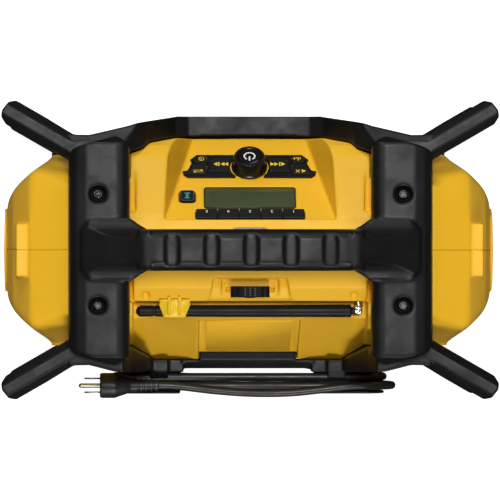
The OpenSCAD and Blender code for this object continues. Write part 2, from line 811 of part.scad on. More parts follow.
// Plan of a rear corner: the band runs from the arm in to the post beside the door wall
post_in = 88;
post_back = 110;
rear_band_plan = [
  [arm_root_x - 2, arm_root_y + 10], [arm_root_x - 8, arm_root_y + 9], [arm_root_x - 20, arm_root_y + 8.7],
  [bar_in + 14, post_back - 1.6], [bar_in, post_back], [post_in, post_back], [post_in, pillar_foot_y + fit],
  [88.2, pillar_foot_y - 0.8], [91.8, pillar_foot_y - 4], [console_half + 0.2, pod_front + 0.6],
  [bar_in + 3, pod_front + 1], [arm_root_x - 2, arm_root_y - 15.4]
];
post_face = [
  [post_in, turn_z - 15], [bar_in + 5, turn_z - 15], [bar_in + 8, arm_low - 10], [bar_in + 14, arm_low],
  [reach_x, arm_low], [reach_x, arm_top - 0.2], [bar_in + 5, arm_top - 0.2], [bar_in - 1, ledge_z - 2],
  [92, 150], [post_in, 102]
];

// A hook that the power cord is wound on, open to the back
module cord_hook() {
  base_back = 112;
  flange_front = turn_y + turn_pitch + cord_d / 2 + 0.8;
  // base against the post
  block([59, pillar_foot_y + fit, turn_z - 20], [turn_run + 24, base_back, turn_z + 36]);
  // core with a rounded outer end
  hook_core(core_r, base_back - 1, flange_front + 0.5);
  // lip that keeps the cord on the core
  intersection() {
    hook_core(core_r + 9, flange_front, flange_front + 2.8);
    block([0, 0, 0], [reach_x, reach_y * 1.2, turn_z + 26]);
  }
  // raised rib with a nib over the first turn
  side_prism([
    [pillar_foot_y + fit, turn_z + 35], [base_back, turn_z + 35], [base_back, turn_z + turn_r + 5],
    [118, turn_z + turn_r + 5], [118, turn_z + turn_r + 7.5], [base_back - 2, turn_z + 41],
    [pillar_foot_y + fit, turn_z + 45]
  ], 73, 90);
}

module hook_core(r, y0, y1) {
  translate([turn_run, 0, turn_z]) rod_y(2 * r, y0, y1);
  block([62, y0, turn_z - r], [turn_run, y1, turn_z + r]);
}

// The sill under the door, between the two hooks
module door_sill() {
  sill_top = hinge_z - 5;
  side_prism([
    [hinge_y, 62], [hinge_y, sill_top], [pillar_foot_y, sill_top - 1.5], [pillar_foot_y + 3, sill_top - 4],
    [108.7, sill_top - 10], [108.7, 66]
  ], -door_half + 1, door_half - 1);
  side_prism([
    [pillar_foot_y + fit, 62], [pillar_foot_y + fit, sill_top - 2], [pillar_foot_y + 3, sill_top - 4],
    [108.7, sill_top - 10], [108.7, 66]
  ], -60, 60);
}

module rear_guard()
  color(black) difference() {
    union() {
      both() intersection() {
        plan_prism(rear_band_plan, 0, overall_h);
        front_prism(post_face, 0, reach_y + over);
      }
      both() mirror([0, 1, 0]) arm(arm_low, arm_top);
      both() cord_hook();
      door_sill();
    }
    housing_keepout();
  }

// ---------- lower cage ----------

skid_top = housing_bottom;
skid_bottom = foot_t + 1;

module bottom_frame()
  color(black) difference() {
    union() {
      both() block([bar_in, -pod_front, skid_bottom], [bar_out - 6, pod_front, skid_top]);
      intersection() {
        plan_prism(mirrored(band_plan), skid_bottom, skid_top);
        block([-reach_x, -beam_front, 0], [reach_x, -70, overall_h]);
      }
      both() front_and_back() arm(foot_t, housing_bottom + 2);
      both() front_and_back()
        block([bar_in, -arm_root_y - 9, skid_bottom], [arm_root_x - 6, -pod_front + over, skid_top]);
      block([-bar_in - over, 84, skid_bottom], [bar_in + over, 98, skid_bottom + 12]);
    }
    both() front_and_back() foot_seat();
    base_screw_holes(screw_d + 0.8, skid_top + over);
    both() front_and_back()
      translate([base_screw_x, cage_screw_y, 0]) cylinder(d = 13, h = skid_bottom + 8);
  }

base_screw_x = bar_in + 22;

module base_screw_holes(d, z1)
  both() front_and_back() translate([base_screw_x, cage_screw_y, 0]) cylinder(d = d, h = z1);

foot_at = [reach_x - 25, -reach_y + 19];

module foot_seat()
  translate([foot_at[0], foot_at[1], 0]) rotate([0, 0, -arm_angle])
    pad(foot_l + 2 * fit, foot_w + 2 * fit, 6, -over, foot_t + 3);

module feet()
  color(rubber) both() front_and_back() translate([foot_at[0], foot_at[1], 0]) rotate([0, 0, -arm_angle])
    pad(foot_l, foot_w, 6, 0, foot_t + 3);

// ---------- fasteners ----------

module screw(head_d, head_h, shank_d, l) {
  difference() {
    rotate_extrude() polygon([
      [0, 0], [head_d / 2, 0], [head_d / 2, head_h - 1], [head_d / 2 - 0.9, head_h], [0, head_h]
    ]);
    for (a = [0, 60, 120]) rotate(a) pad(head_d * 0.56, head_d * 0.17, 0.6, head_h - 1.8, head_h + over);
  }
  translate([0, 0, -l]) cylinder(d = shank_d, h = l + 0.5);
}

module cage_screws()
  color(rubber) both() front_and_back()
    translate([cage_screw_x, cage_screw_y, cage_seat])
      screw(screw_head_d, 3.6, screw_d, cage_seat - housing_top + 21);

module base_screws()
  color(rubber) both() front_and_back()
    translate([base_screw_x, cage_screw_y, skid_bottom + 8]) rotate([180, 0, 0])
      screw(screw_head_d, 3.6, screw_d, 32);

module shell_screws()
  color(rubber) both() for (z = [housing_mid - 47, housing_mid + 47])
    translate([shell_screw_x, shell_screw_y, z]) rotate([-90, 0, 0])
      screw(screw_head_d, 3.2, screw_d, shell_screw_l);

// ---------- speakers ----------

module grille(side)
  color(black) translate([side * speaker_x, -pod_front + 2.2, speaker_z]) rotate([90, 0, 0]) {
    rings = floor((grille_d / 2 - 8) / hole_pitch);
    linear_extrude(1.2) difference() {
      circle(d = grille_d, $fn = 96);
      for (r = [0 : rings], k = [0 : max(0, 6 * r - 1)])
        rotate(360 * k / max(1, 6 * r)) translate([r * hole_pitch, 0]) circle(d = hole_d, $fn = 16);
    }
    rotate_extrude($fn = 96) polygon([
      [grille_d / 2 - 5, 0], [grille_d / 2, 0], [grille_d / 2, 4.6], [grille_d / 2 - 1.6, 5.6],
      [grille_d / 2 - 3.6, 4.4], [grille_d / 2 - 5, 1.2]
    ]);
  }

module grille_left() grille(1);
module grille_right() grille(-1);

// Basket, magnet and frame ring behind the grille
module speaker(side) {
  magnet_r = magnet_d / 2;
  magnet_front = speaker_depth - magnet_t;
  color("#8d9094") translate([side * speaker_x, -pod_front + 10, speaker_z]) rotate([-90, 0, 0])
    rotate_extrude() polygon([
      [cone_d / 2 - 1, -1.4], [cone_d / 2 + 7.6, -1.4], [cone_d / 2 + 7.6, 0], [cone_d / 2 + 1, 0],
      [magnet_r - 10, magnet_front], [magnet_r, magnet_front], [magnet_r, speaker_depth], [0, speaker_depth],
      [0, magnet_front + 1], [magnet_r - 14, magnet_front - 2], [cone_d / 2 - 2, 0.6]
    ]);
}

module speaker_left() speaker(1);
module speaker_right() speaker(-1);

// Paper cone with its rolled surround and dust cap
module speaker_cone(side)
  color("#26272a") translate([side * speaker_x, -pod_front + 8.6, speaker_z]) rotate([-90, 0, 0])
    rotate_extrude() polygon([
      [0, 8], [5, 8.6], [10, 11], [cone_d / 2 - 11, -0.4], [cone_d / 2 - 9, -2.6], [cone_d / 2 - 6, -3.4],
      [cone_d / 2 - 3, -2.6], [cone_d / 2 - 1, 0], [cone_d / 2 - 4.6, 1], [cone_d / 2 - 9, 0.8],
      [11, 13], [0, 12]
    ]);

module speaker_cone_left() speaker_cone(1);
module speaker_cone_right() speaker_cone(-1);

// ---------- control panel ----------

module keypad(side)
  color(rubber) on_side(side) difference() {
    panel_shape(keypad_outline, 0, keypad_t);
    knob_clear(keypad_hole_r);
    key_wells(keypad_t + over);
  }

module keypad_left() keypad(1);
module keypad_right() keypad(-1);

// One key of a keypad, from under the wall to its raised face
module pad_key(side, points)
  color(rubber) on_side(side) difference() {
    panel_shape(points, key_rise - key_l, key_rise);
    knob_clear(keypad_hole_r + 1.2);
  }

module seek_back_key() pad_key(-1, seek_outline);
module seek_forward_key() pad_key(1, seek_outline);
module clock_key() pad_key(1, low_key_outline);
module mode_key() pad_key(1, high_key_outline);
module tone_key() pad_key(-1, low_key_outline);
module mute_key() pad_key(-1, high_key_outline);

module source_key()
  color(rubber) on_panel(source_x, source_s) pad(source_w, source_h, 3, key_rise - key_l, key_rise - 1);

preset_pitch = preset_w / preset_count;

// Station keys are numbered from the right-hand side of someone behind the radio
module preset_key(i)
  color(rubber) on_panel(preset_w / 2 - preset_pitch * (preset_count - i + 0.5), preset_s)
    pad(preset_pitch - key_gap, preset_h, 1, key_rise - key_l, key_rise - 0.8);

module preset_key_1() preset_key(1);
module preset_key_2() preset_key(2);
module preset_key_3() preset_key(3);
module preset_key_4() preset_key(4);
module preset_key_5() preset_key(5);

module volume_knob()
  color(black) on_panel(0, knob_s) difference() {
    rotate_extrude($fn = 96) polygon([
      [sleeve_d / 2 + air, 0.4], [knob_d / 2, 0.4], [knob_d / 2, 2.2], [knob_d / 2 - 0.8, 3],
      [knob_top_d / 2, knob_h - 2], [knob_top_d / 2 - 1.2, knob_h], [well_d / 2 + 1, knob_h],
      [well_d / 2, knob_h - 0.8], [well_d / 2, knob_h - 4.4], [sleeve_d / 2 + air, knob_h - 4.4]
    ]);
    for (k = [0 : knob_flutes - 1]) rotate(360 * k / knob_flutes)
      translate([knob_d / 2 + 1.1, 0, 3.4]) cylinder(d = 4, h = knob_h, $fn = 24);
  }

module power_button()
  color(black) on_panel(0, knob_s) {
    translate([0, 0, knob_h - 3]) cylinder(d = power_d, h = 2.8);
    translate([0, 0, key_travel + 0.2 - board_depth])
      cylinder(d = sleeve_d - 4, h = knob_h + board_depth - 3.6);
  }

// Rotary encoder with the sleeve that carries the knob
module knob_encoder()
  color(steel) on_panel(0, knob_s) difference() {
    union() {
      pad(15, 15, 1, -board_depth, -panel_wall - 0.4);
      translate([0, 0, -panel_wall - 0.5]) cylinder(d = sleeve_d, h = panel_wall + knob_h - 6);
    }
    translate([0, 0, -board_depth - over]) cylinder(d = sleeve_d - 3.2, h = board_depth + knob_h);
  }

module display_window()
  color("#464f37") on_panel(0, window_s) pad(window_w, window_h, 3, -window_t, -0.3);

module display_module()
  color("#5b6b3d") on_panel(0, window_s)
    pad(window_w - 8.8, window_h - 6.8, 1.2, -board_depth, -window_t - 0.1);

// Board right behind the panel, on which all the keys press
module control_board()
  color(board_green) on_panel(0, 0)
    block([-panel_low_half - 7, -92, -board_depth - board_t], [panel_low_half + 7, -3, -board_depth]);

module main_board() {
  board_back = -board_front + board_t;
  color(board_green) {
    block([-board_w / 2, -board_front, housing_bottom + wall], [board_w / 2, board_back, board_top]);
    block([-30, board_back, board_top - 48], [-6, board_back + 4.4, board_top - 24]);
    block([8, board_back, board_top - 44], [34, board_back + 6.4, board_top - 14]);
  }
}

module power_supply() {
  floor_z = housing_bottom + wall;
  color("#3b3d42") block([-board_w / 2, -supply_d - 6, floor_z], [board_w / 2, -6, floor_z + supply_h]);
}

plate_w = 30;
plate_d = 13;
plate_y = -panel_top_y + 6.5 + plate_d / 2;

module top_plate_seat()
  translate([0, plate_y, 0]) pad(plate_w + fit, plate_d + fit, 2, housing_top - 1.2, housing_top + over);

module top_plate()
  color("#6f7276") translate([0, plate_y, 0])
    pad(plate_w, plate_d, 2, housing_top - 1.2, housing_top + 0.6);

// ---------- rear door ----------

// A slab of the closed door between two depths, from a height up to a step below the door's top
module door_slab(y0, y1, z0, half, step_down)
  side_prism([
    door_point(y0, z0), door_point(y0, door_h - step_down), door_point(y1, door_h - step_down),
    door_point(y1, z0)
  ], -half, half);

module rear_door()
  color(yellow) difference() {
    union() {
      door_slab(3 - door_t, 3, 0, door_half, 0);
      door_slab(2.5, 3.8, 4, door_half - 6.6, 0.4);
      translate([0, hinge_y, hinge_z]) rod_x(2 * hinge_r, -door_half, door_half);
    }
    for (x = [-1, 1]) translate([x * door_half, hinge_y, hinge_z]) rod_x(hinge_pin_d + 2 * air, -9, 9);
  }

// Rubber seal round the inside of the door
module door_seal()
  color(rubber) on_door() difference() {
    block([-bay_half + 1, 3 - door_t - 2, 12], [bay_half - 1, 3 - door_t, door_h - 14]);
    block([-bay_half + 5, -door_t - 3, 16], [bay_half - 5, 4, door_h - 18]);
  }

module door_pins()
  color(steel) for (x = [-1, 1]) translate([x * (door_half - 0.6), hinge_y, hinge_z])
    rod_x(hinge_pin_d, x > 0 ? -7 : -6, x > 0 ? 6 : 7);

// Sliding latch: ribbed thumb pad, stem and the tongue that holds the door
module door_latch()
  color(black) {
    block([-latch_w / 2, latch_y - latch_d / 2, latch_floor + 0.2],
          [latch_w / 2, latch_back, latch_floor + 6]);
    for (x = [-latch_ridge, latch_ridge])
      block([x - 1, latch_y - latch_d / 2 + over, latch_floor + 5],
            [x + 1, latch_back - over, latch_floor + 7.4]);
    block([-latch_stem / 2, latch_stem_y, tongue_z], [latch_stem / 2, latch_back, latch_floor + 1]);
    block([-latch_stem / 2, latch_stem_y, tongue_z], [latch_stem / 2, tongue_end, tongue_z + 4]);
  }

module battery_terminals() {
  foot = hinge_z + 20;
  color(rubber) {
    block([-terminal_w / 2, bay_front, foot], [terminal_w / 2, bay_front + 14, foot + terminal_h]);
    for (k = [-1.5 : 1.5]) translate([k * contact_pitch, bay_front + 13, foot])
      block([-0.6, 0, terminal_h / 3], [0.6, 11, terminal_h * 2 / 3]);
  }
}

// ---------- antenna ----------

module at_antenna() translate([-antenna_x, antenna_y, antenna_z]) children();

// Bush in the housing with the pivot that the knuckle turns on
module antenna_bush()
  color(steel) translate([-antenna_x, 0, antenna_z]) {
    rod_y(7.9, 36.2, ledge_front + 0.6);
    rod_y(4.2, ledge_front, antenna_y - 4.9);
  }

module antenna_knuckle()
  color(steel) at_antenna() difference() {
    union() {
      rod_y(8, -8.2, -4.2);
      for (z = [-1, 1]) translate([0, 0, z * 3.3 - 1]) cylinder(d = 7, h = 2);
      for (z = [-1, 1]) block([-3.5, -5, z * 3.3 - 1], [3.5, 0, z * 3.3 + 1]);
    }
    rod_y(4.2 + 2 * air, -9, -4.2 + over);
    translate([0, 0, -6]) cylinder(d = 2, h = 12);
  }

module antenna_pin()
  color(steel) at_antenna() {
    translate([0, 0, -4.8]) cylinder(d = 2, h = 9.6);
    translate([0, 0, 4.3]) cylinder(d = 3.4, h = 0.6);
  }

module antenna()
  color(black) at_antenna() difference() {
    union() {
      translate([0, 0, -2.1]) cylinder(d = 7, h = 4.2);
      block([0, -3.5, -2.1], [whip_start + 1, 3.5, 2.1]);
      rotate([0, 90, 0]) rotate_extrude($fn = 48) polygon([
        [0, whip_start], [antenna_d / 2 - 0.8, whip_start], [antenna_d / 2, whip_start + 1.2],
        [antenna_tip_d / 2 + 0.1, antenna_l - 18], [antenna_tip_d / 2 - 0.5, antenna_l - 17.4],
        [antenna_tip_d / 2 - 0.5, antenna_l - 15.6], [antenna_tip_d / 2, antenna_l - 15],
        [antenna_tip_d / 2, antenna_l - 4], [antenna_tip_d / 2 - 1.6, antenna_l - 1.2],
        [antenna_tip_d / 2 - 4, antenna_l], [0, antenna_l]
      ]);
    }
    translate([0, 0, -3]) cylinder(d = 2 + 2 * air, h = 6);
  }

// Clip over the stowed antenna, open to the back
clip_out = 81.1;
clip_in = 53.8;
module antenna_clip() {
  roof = antenna_z + antenna_d / 2 + 0.1;
  brow = housing_top - 15.5;
  color("#f7cf3a") {
    intersection() {
      side_prism([
        [ledge_front + fit, ledge_z + fit], [ledge_front + fit, brow], [ledge_front - 2, brow + 1.9],
        [ledge_front - 1.4, brow + 3.6], [ledge_front + 1, brow + 3], [antenna_y, roof + 5],
        [antenna_y + 5.9, roof + 1.8], [antenna_y + 5.9, roof], [antenna_y - 3.6, roof],
        [ledge_front + 2.4, roof - 2.2], [ledge_front + 2.4, ledge_z + fit]
      ], clip_in, clip_out);
      plan_prism([
        [clip_in, 0], [clip_in, ledge_front + 4], [clip_in + 4.3, antenna_y + 6],
        [clip_out - 4.2, antenna_y + 6],
        [clip_out, ledge_front + 4], [clip_out, 0]
      ], 0, overall_h);
    }
    for (x = [clip_in + 9.3, clip_out - 8.8]) side_prism([
      [ledge_front - 4.6, brow + 4.3], [ledge_front - 4, brow + 5.6], [ledge_front + 1, brow + 5],
      [antenna_y, roof + 7], [antenna_y + 4, roof + 3.6], [antenna_y + 4, roof + 2],
      [antenna_y, roof + 4], [ledge_front + 1, brow + 2], [ledge_front - 1.4, brow + 2.6]
    ], x - 1.4, x + 1.4);
  }
}

// ---------- cord ----------

// A point of the cord on a turn of radius r: t counts turns from the bottom middle,
// first towards -X; the run along the bottom and the top is straight
function turn_point(t, r, y) =
  let (u = t - floor(t))
  u < 0.13 ? [-far_run * u / 0.13, y, turn_z - r] :
  u < 0.37 ? let (a = 180 * (u - 0.13) / 0.24) [-far_run - r * sin(a), y, turn_z - r * cos(a)] :
  u < 0.63 ? [-far_run + (far_run + turn_run) * (u - 0.37) / 0.26, y, turn_z + r] :
  u < 0.87 ? let (a = 180 * (u - 0.63) / 0.24) [turn_run + r * sin(a), y, turn_z + r * cos(a)] :
  [turn_run * (1 - u) / 0.13, y, turn_z - r];

// A smooth step from 0 to 1 between a and b
function step(t, a, b) = let (v = min(1, max(0, (t - a) / (b - a)))) v * v * (3 - 2 * v);

function winding_point(t) =
  turn_point(t, turn_r + turn_pitch * step(t, inner_turns, inner_turns + 0.24),
             turn_y + turn_pitch * step(t, 0.87, 1.13));

// 24 rings a turn: ten round each end and two on each straight
turn_steps = concat(
  [0.05], [for (i = [0 : 9]) 0.13 + 0.24 * i / 9], [0.457, 0.543],
  [for (i = [0 : 9]) 0.63 + 0.24 * i / 9], [0.957]
);
winding_steps = [for (n = [0 : 2], s = turn_steps) if (n + s <= last_turn) n + s];

// The last run bows out to the back, rises and ends straight in the plug's boot
last_run = [
  [-70, 127.6, 92.4], [-40, 130.6, 94], [-5, 131, 95.8], [30, 128.6, 97.6], [60, 125, 99.2]
];
first_run = [
  cord_exit, cord_exit - [cord_d, 0, 0], [-14, 104.2, cord_exit[2]], [-44, 105, cord_exit[2]],
  [-66, 108.4, cord_exit[2]]
];
cord_end = [boot_end - [cord_d, 0, 0], boot_end];
cord_path = concat(
  first_run, [for (t = winding_steps) if (t > 0.1) winding_point(t)], last_run, cord_end
);

// Direction of the path at ring i, square to its two ends
function unit(v) = v / norm(v);
function heading(path, i) =
  i == 0 ? unit(path[1] - path[0]) :
  i == len(path) - 1 ? unit(path[i] - path[i - 1]) :
  unit(unit(path[i] - path[i - 1]) + unit(path[i + 1] - path[i]));

// Rings stand on the cord's direction and on the depth axis, which it never follows
function ring(path, i, d, sides) =
  let (w = heading(path, i), u = unit(cross([0, 1, 0], w)), v = cross(w, u))
  [for (k = [0 : sides - 1]) path[i] + d / 2 * (cos(360 * k / sides) * u + sin(360 * k / sides) * v)];

module tube(path, d, sides) {
  n = len(path);
  points = concat([for (i = [0 : n - 1]) each ring(path, i, d, sides)], [path[0], path[n - 1]]);
  walls = [for (i = [0 : n - 2], k = [0 : sides - 1]) each let (
    a = i * sides + k, b = i * sides + (k + 1) % sides) [[a, b, b + sides], [a, b + sides, a + sides]]];
  ends = [for (k = [0 : sides - 1]) each [
    [n * sides, (k + 1) % sides, k],
    [n * sides + 1, (n - 1) * sides + k, (n - 1) * sides + (k + 1) % sides]]];
  polyhedron(points = points, faces = concat(walls, ends));
}

module power_cord() color(rubber) tube(cord_path, cord_d, 6);

// Distance along the cord of each of its points
cord_marks = [
  for (i = 0, s = 0; i < len(cord_path);
       s = s + (i < len(cord_path) - 1 ? norm(cord_path[i + 1] - cord_path[i]) : 0), i = i + 1) s
];

// Distance of a point from the stretch between two points
function off_stretch(p, a, b) =
  let (w = b - a, t = min(1, max(0, (p - a) * w / (w * w)))) norm(p - a - t * w);

// Least gap between two stretches of the cord that lie well apart along it
cord_gap = min([
  for (i = [0 : len(cord_path) - 2], k = [0 : 5])
    let (p = cord_path[i] + (cord_path[i + 1] - cord_path[i]) * k / 6,
         s = cord_marks[i] + (cord_marks[i + 1] - cord_marks[i]) * k / 6)
    for (j = [0 : len(cord_path) - 2])
      if (cord_marks[j] - s > 5 * cord_d || s - cord_marks[j + 1] > 5 * cord_d)
        off_stretch(p, cord_path[j], cord_path[j + 1])
]) - cord_d;
echo(cord_length_mm = cord_marks[len(cord_path) - 1], cord_least_gap_mm = cord_gap);

// Bracket under the housing's rear edge that holds the strain relief
module cord_bracket()
  color(black) side_prism([
    [84, cord_exit[2] - 7.2], [cord_exit[1] + 6.6, cord_exit[2] - 7.2],
    [cord_exit[1] + 6.6, cord_exit[2] + 7.2],
    [pillar_foot_y - 10 + (cord_exit[2] + 7.2 - housing_bottom) / 1.8 + fit, cord_exit[2] + 7.2],
    [pillar_foot_y - 10 + fit, housing_bottom - 0.1], [84, housing_bottom - 0.1]
  ], 72, 90);

module strain_relief()
  color(rubber) translate([72, cord_exit[1], cord_exit[2]]) rotate([0, -90, 0])
    rotate_extrude() polygon(concat(
      [[0, 0], [6.2, 0], [6.2, 3]],
      [for (i = [0 : 6]) each [[6.1 - 0.18 * i, 3 + 5 * i], [6.1 - 0.18 * i, 6 + 5 * i],
                               [5.4 - 0.2 * i, 6 + 5 * i], [5.4 - 0.2 * i, 8 + 5 * i]]],
      [[5, 38], [4.6, 40], [0, 40]]
    ));

plug_face = boot_end[0] + 53.7;

// Moulded plug with its grip ring and ribbed boot, along +X
module plug()
  color(rubber) translate(boot_end) rotate([0, 90, 0]) rotate_extrude() polygon(concat(
    [[0, 0], [4.6, 0]],
    [for (i = [0 : 3]) each [[5.2 + 0.3 * i, 1 + 4.6 * i], [5.2 + 0.3 * i, 3.6 + 4.6 * i],
                             [4.5 + 0.3 * i, 3.6 + 4.6 * i], [4.5 + 0.3 * i, 5.6 + 4.6 * i]]],
    [[6.6, 19.3], [6.6, 25.7], [6, 25.7], [8, 30], [plug_d / 2 - 1.5, 36],
     [plug_d / 2, 40], [plug_d / 2, 52.4], [plug_d / 2 - 1.2, 53.7], [0, 53.7]]
  ));

// Two flat blades and the longer round earth pin above them
module plug_pins()
  color(steel) translate([plug_face, boot_end[1], boot_end[2]]) {
    for (y = [-1, 1]) block([0, y * blade_pitch / 2 - 0.75, -7.2], [14.3, y * blade_pitch / 2 + 0.75, -0.8]);
    translate([0, 0, 6.2]) {
      rod_x(4.3, 0, 17.2);
      translate([17.2, 0, 0]) sphere(d = 4.3, $fn = 32);
    }
  }

// ---------- assembly ----------

front_shell();
rear_shell();
end_plate_left();
end_plate_right();
top_frame();
front_bumper();
rear_guard();
bottom_frame();
feet();
cage_screws();
base_screws();
shell_screws();
grille_left();
grille_right();
speaker_left();
speaker_right();
speaker_cone_left();
speaker_cone_right();
keypad_left();
keypad_right();
seek_back_key();
seek_forward_key();
clock_key();
mode_key();
tone_key();
mute_key();
source_key();
preset_key_1();
preset_key_2();
preset_key_3();
preset_key_4();
preset_key_5();
volume_knob();
power_button();
knob_encoder();
display_window();
display_module();
control_board();
main_board();
power_supply();
top_plate();
rear_door();
door_seal();
door_pins();
door_latch();
battery_terminals();
antenna_bush();
antenna_knuckle();
antenna_pin();
antenna();
antenna_clip();
cord_bracket();
strain_relief();
power_cord();
plug();
plug_pins();
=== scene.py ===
"""Looks of a jobsite radio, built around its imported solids. Lengths in the tables are millimetres."""
import json
import math

import bmesh
import bpy
from mathutils import Matrix, Vector


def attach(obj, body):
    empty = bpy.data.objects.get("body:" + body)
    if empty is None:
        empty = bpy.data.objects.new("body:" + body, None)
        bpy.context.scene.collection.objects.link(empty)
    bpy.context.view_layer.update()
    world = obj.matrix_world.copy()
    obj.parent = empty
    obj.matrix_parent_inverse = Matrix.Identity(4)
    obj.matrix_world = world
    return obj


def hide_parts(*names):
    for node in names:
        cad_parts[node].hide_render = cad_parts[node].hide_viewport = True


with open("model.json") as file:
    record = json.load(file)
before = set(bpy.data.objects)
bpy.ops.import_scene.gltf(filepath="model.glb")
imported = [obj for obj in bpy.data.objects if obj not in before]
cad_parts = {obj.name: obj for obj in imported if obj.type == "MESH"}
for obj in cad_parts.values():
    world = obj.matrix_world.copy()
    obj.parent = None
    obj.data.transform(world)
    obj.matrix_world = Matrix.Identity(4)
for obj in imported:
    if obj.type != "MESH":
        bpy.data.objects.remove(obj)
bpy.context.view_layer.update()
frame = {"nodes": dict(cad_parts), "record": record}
nodes = frame["nodes"]

MM = 0.001
COLLECTION = bpy.context.scene.collection
BODY_OF = {node: body for body, members in frame["record"]["behaviour"]["bodies"].items() for node in members}
SLOT_OF = {part["node"]: part["material_slot"] for part in frame["record"]["subparts"]}


def metres(x, y, z):
    """A point given in millimetres."""
    return Vector((x, y, z)) * MM


# ---------------------------------------------------------------- camera

CAMERA_HEIGHT = 5.24
CAMERA_SIDE = 0.086
AIM = Vector((0.0004, 0.0, 0.24))
FRAME_WIDTH = 0.4454
SENSOR = 36.0


def make_camera():
    """Straight down on the radio, a little to its left, with its front at the top of the picture."""
    data = bpy.data.cameras.new("camera")
    camera = bpy.data.objects.new("camera", data)
    COLLECTION.objects.link(camera)
    camera.location = (CAMERA_SIDE, 0.0, CAMERA_HEIGHT)
    backward = (camera.location - AIM).normalized()
    up = Vector((0.0, -1.0, 0.0))
    right = up.cross(backward).normalized()
    up = backward.cross(right)
    turn = Matrix((right, up, backward)).transposed().to_4x4()
    camera.matrix_world = Matrix.Translation(camera.location) @ turn
    data.sensor_width = SENSOR
    data.lens = SENSOR * (camera.location - AIM).length / FRAME_WIDTH
    data.clip_end = 50.0
    bpy.context.scene.camera = camera


# ---------------------------------------------------------------- shader groups

def new_group(name, inputs, outputs):
    """A shader node group with named sockets: {name: default value} in, names out."""
    group = bpy.data.node_groups.new(name, "ShaderNodeTree")
    for label, value in inputs.items():
        kind = "NodeSocketColor" if isinstance(value, tuple) and len(value) == 4 else "NodeSocketFloat"
        kind = "NodeSocketVector" if isinstance(value, tuple) and len(value) == 3 else kind
        group.interface.new_socket(label, in_out="INPUT", socket_type=kind).default_value = value
    for label, kind in outputs.items():
        group.interface.new_socket(label, in_out="OUTPUT", socket_type=kind)
    tree = Tree(group)
    return group, tree, tree.add("NodeGroupInput"), tree.add("NodeGroupOutput")


class Tree:
    """Short calls for adding and joining shader nodes."""

    def __init__(self, tree):
        self.tree = tree

    def add(self, kind, **values):
        node = self.tree.nodes.new(kind)
        for name, value in values.items():
            setattr(node, name, value)
        return node

    def link(self, source, target):
        self.tree.links.new(source, target)

    def math(self, operation, a, b=None, clamp=False):
        node = self.add("ShaderNodeMath", operation=operation, use_clamp=clamp)
        for socket, value in zip(node.inputs, (a, b)):
            self.feed(socket, value)
        return node.outputs[0]

    def feed(self, socket, value):
        if isinstance(value, bpy.types.NodeSocket):
            self.link(value, socket)
        elif value is not None:
            socket.default_value = value

    def noise(self, scale, detail=2.0, roughness=0.5, vector=None):
        node = self.add("ShaderNodeTexNoise")
        node.inputs["Detail"].default_value = detail
        node.inputs["Roughness"].default_value = roughness
        self.feed(node.inputs["Scale"], scale)
        self.feed(node.inputs["Vector"], vector)
        return node.outputs["Fac"]

    def spread(self, value, low, high, to_low=0.0, to_high=1.0):
        node = self.add("ShaderNodeMapRange")
        for socket, item in zip(("Value", "From Min", "From Max", "To Min", "To Max"),
                                (value, low, high, to_low, to_high)):
            self.feed(node.inputs[socket], item)
        return node.outputs["Result"]

    def mix(self, factor, a, b):
        node = self.add("ShaderNodeMix", data_type="RGBA", blend_type="MIX")
        self.feed(node.inputs["Factor"], factor)
        self.feed(node.inputs["A"], a)
        self.feed(node.inputs["B"], b)
        return node.outputs["Result"]


def moulded_group():
    """Spark-eroded texture, a faint cloudiness and handling marks of a moulded plastic surface."""
    group, tree, given, out = new_group(
        "moulded_surface",
        {"Color": (0.8, 0.8, 0.8, 1.0), "Cloudiness": 0.05, "Roughness": 0.45, "Grain Size": 900.0,
         "Handling": 0.06},
        {"Color": "NodeSocketColor", "Roughness": "NodeSocketFloat", "Height": "NodeSocketFloat"})
    place = tree.add("ShaderNodeTexCoord").outputs["Object"]
    cloud = tree.noise(9.0, 3.0, 0.55, place)
    fine = tree.noise(given.outputs["Grain Size"], 3.0, 0.6, place)
    rub = tree.noise(34.0, 5.0, 0.62, place)
    lightness = tree.math("ADD", 1.0, tree.math("MULTIPLY", tree.spread(cloud, 0.3, 0.7, -1.0, 1.0),
                                                given.outputs["Cloudiness"]))
    speckle = tree.spread(fine, 0.3, 0.7, 0.965, 1.035)
    shade = tree.add("ShaderNodeVectorMath", operation="SCALE")
    tree.link(given.outputs["Color"], shade.inputs[0])
    tree.link(tree.math("MULTIPLY", lightness, speckle), shade.inputs["Scale"])
    tree.link(shade.outputs[0], out.inputs["Color"])
    worn = tree.math("MULTIPLY", tree.spread(rub, 0.42, 0.68, -1.0, 1.0), given.outputs["Handling"])
    tree.link(tree.math("ADD", given.outputs["Roughness"], worn, clamp=True), out.inputs["Roughness"])
    tree.link(tree.math("ADD", fine, tree.math("MULTIPLY", rub, 0.25)), out.inputs["Height"])
    return group


SMUDGE_GREY = (0.35, 0.35, 0.36, 1.0)


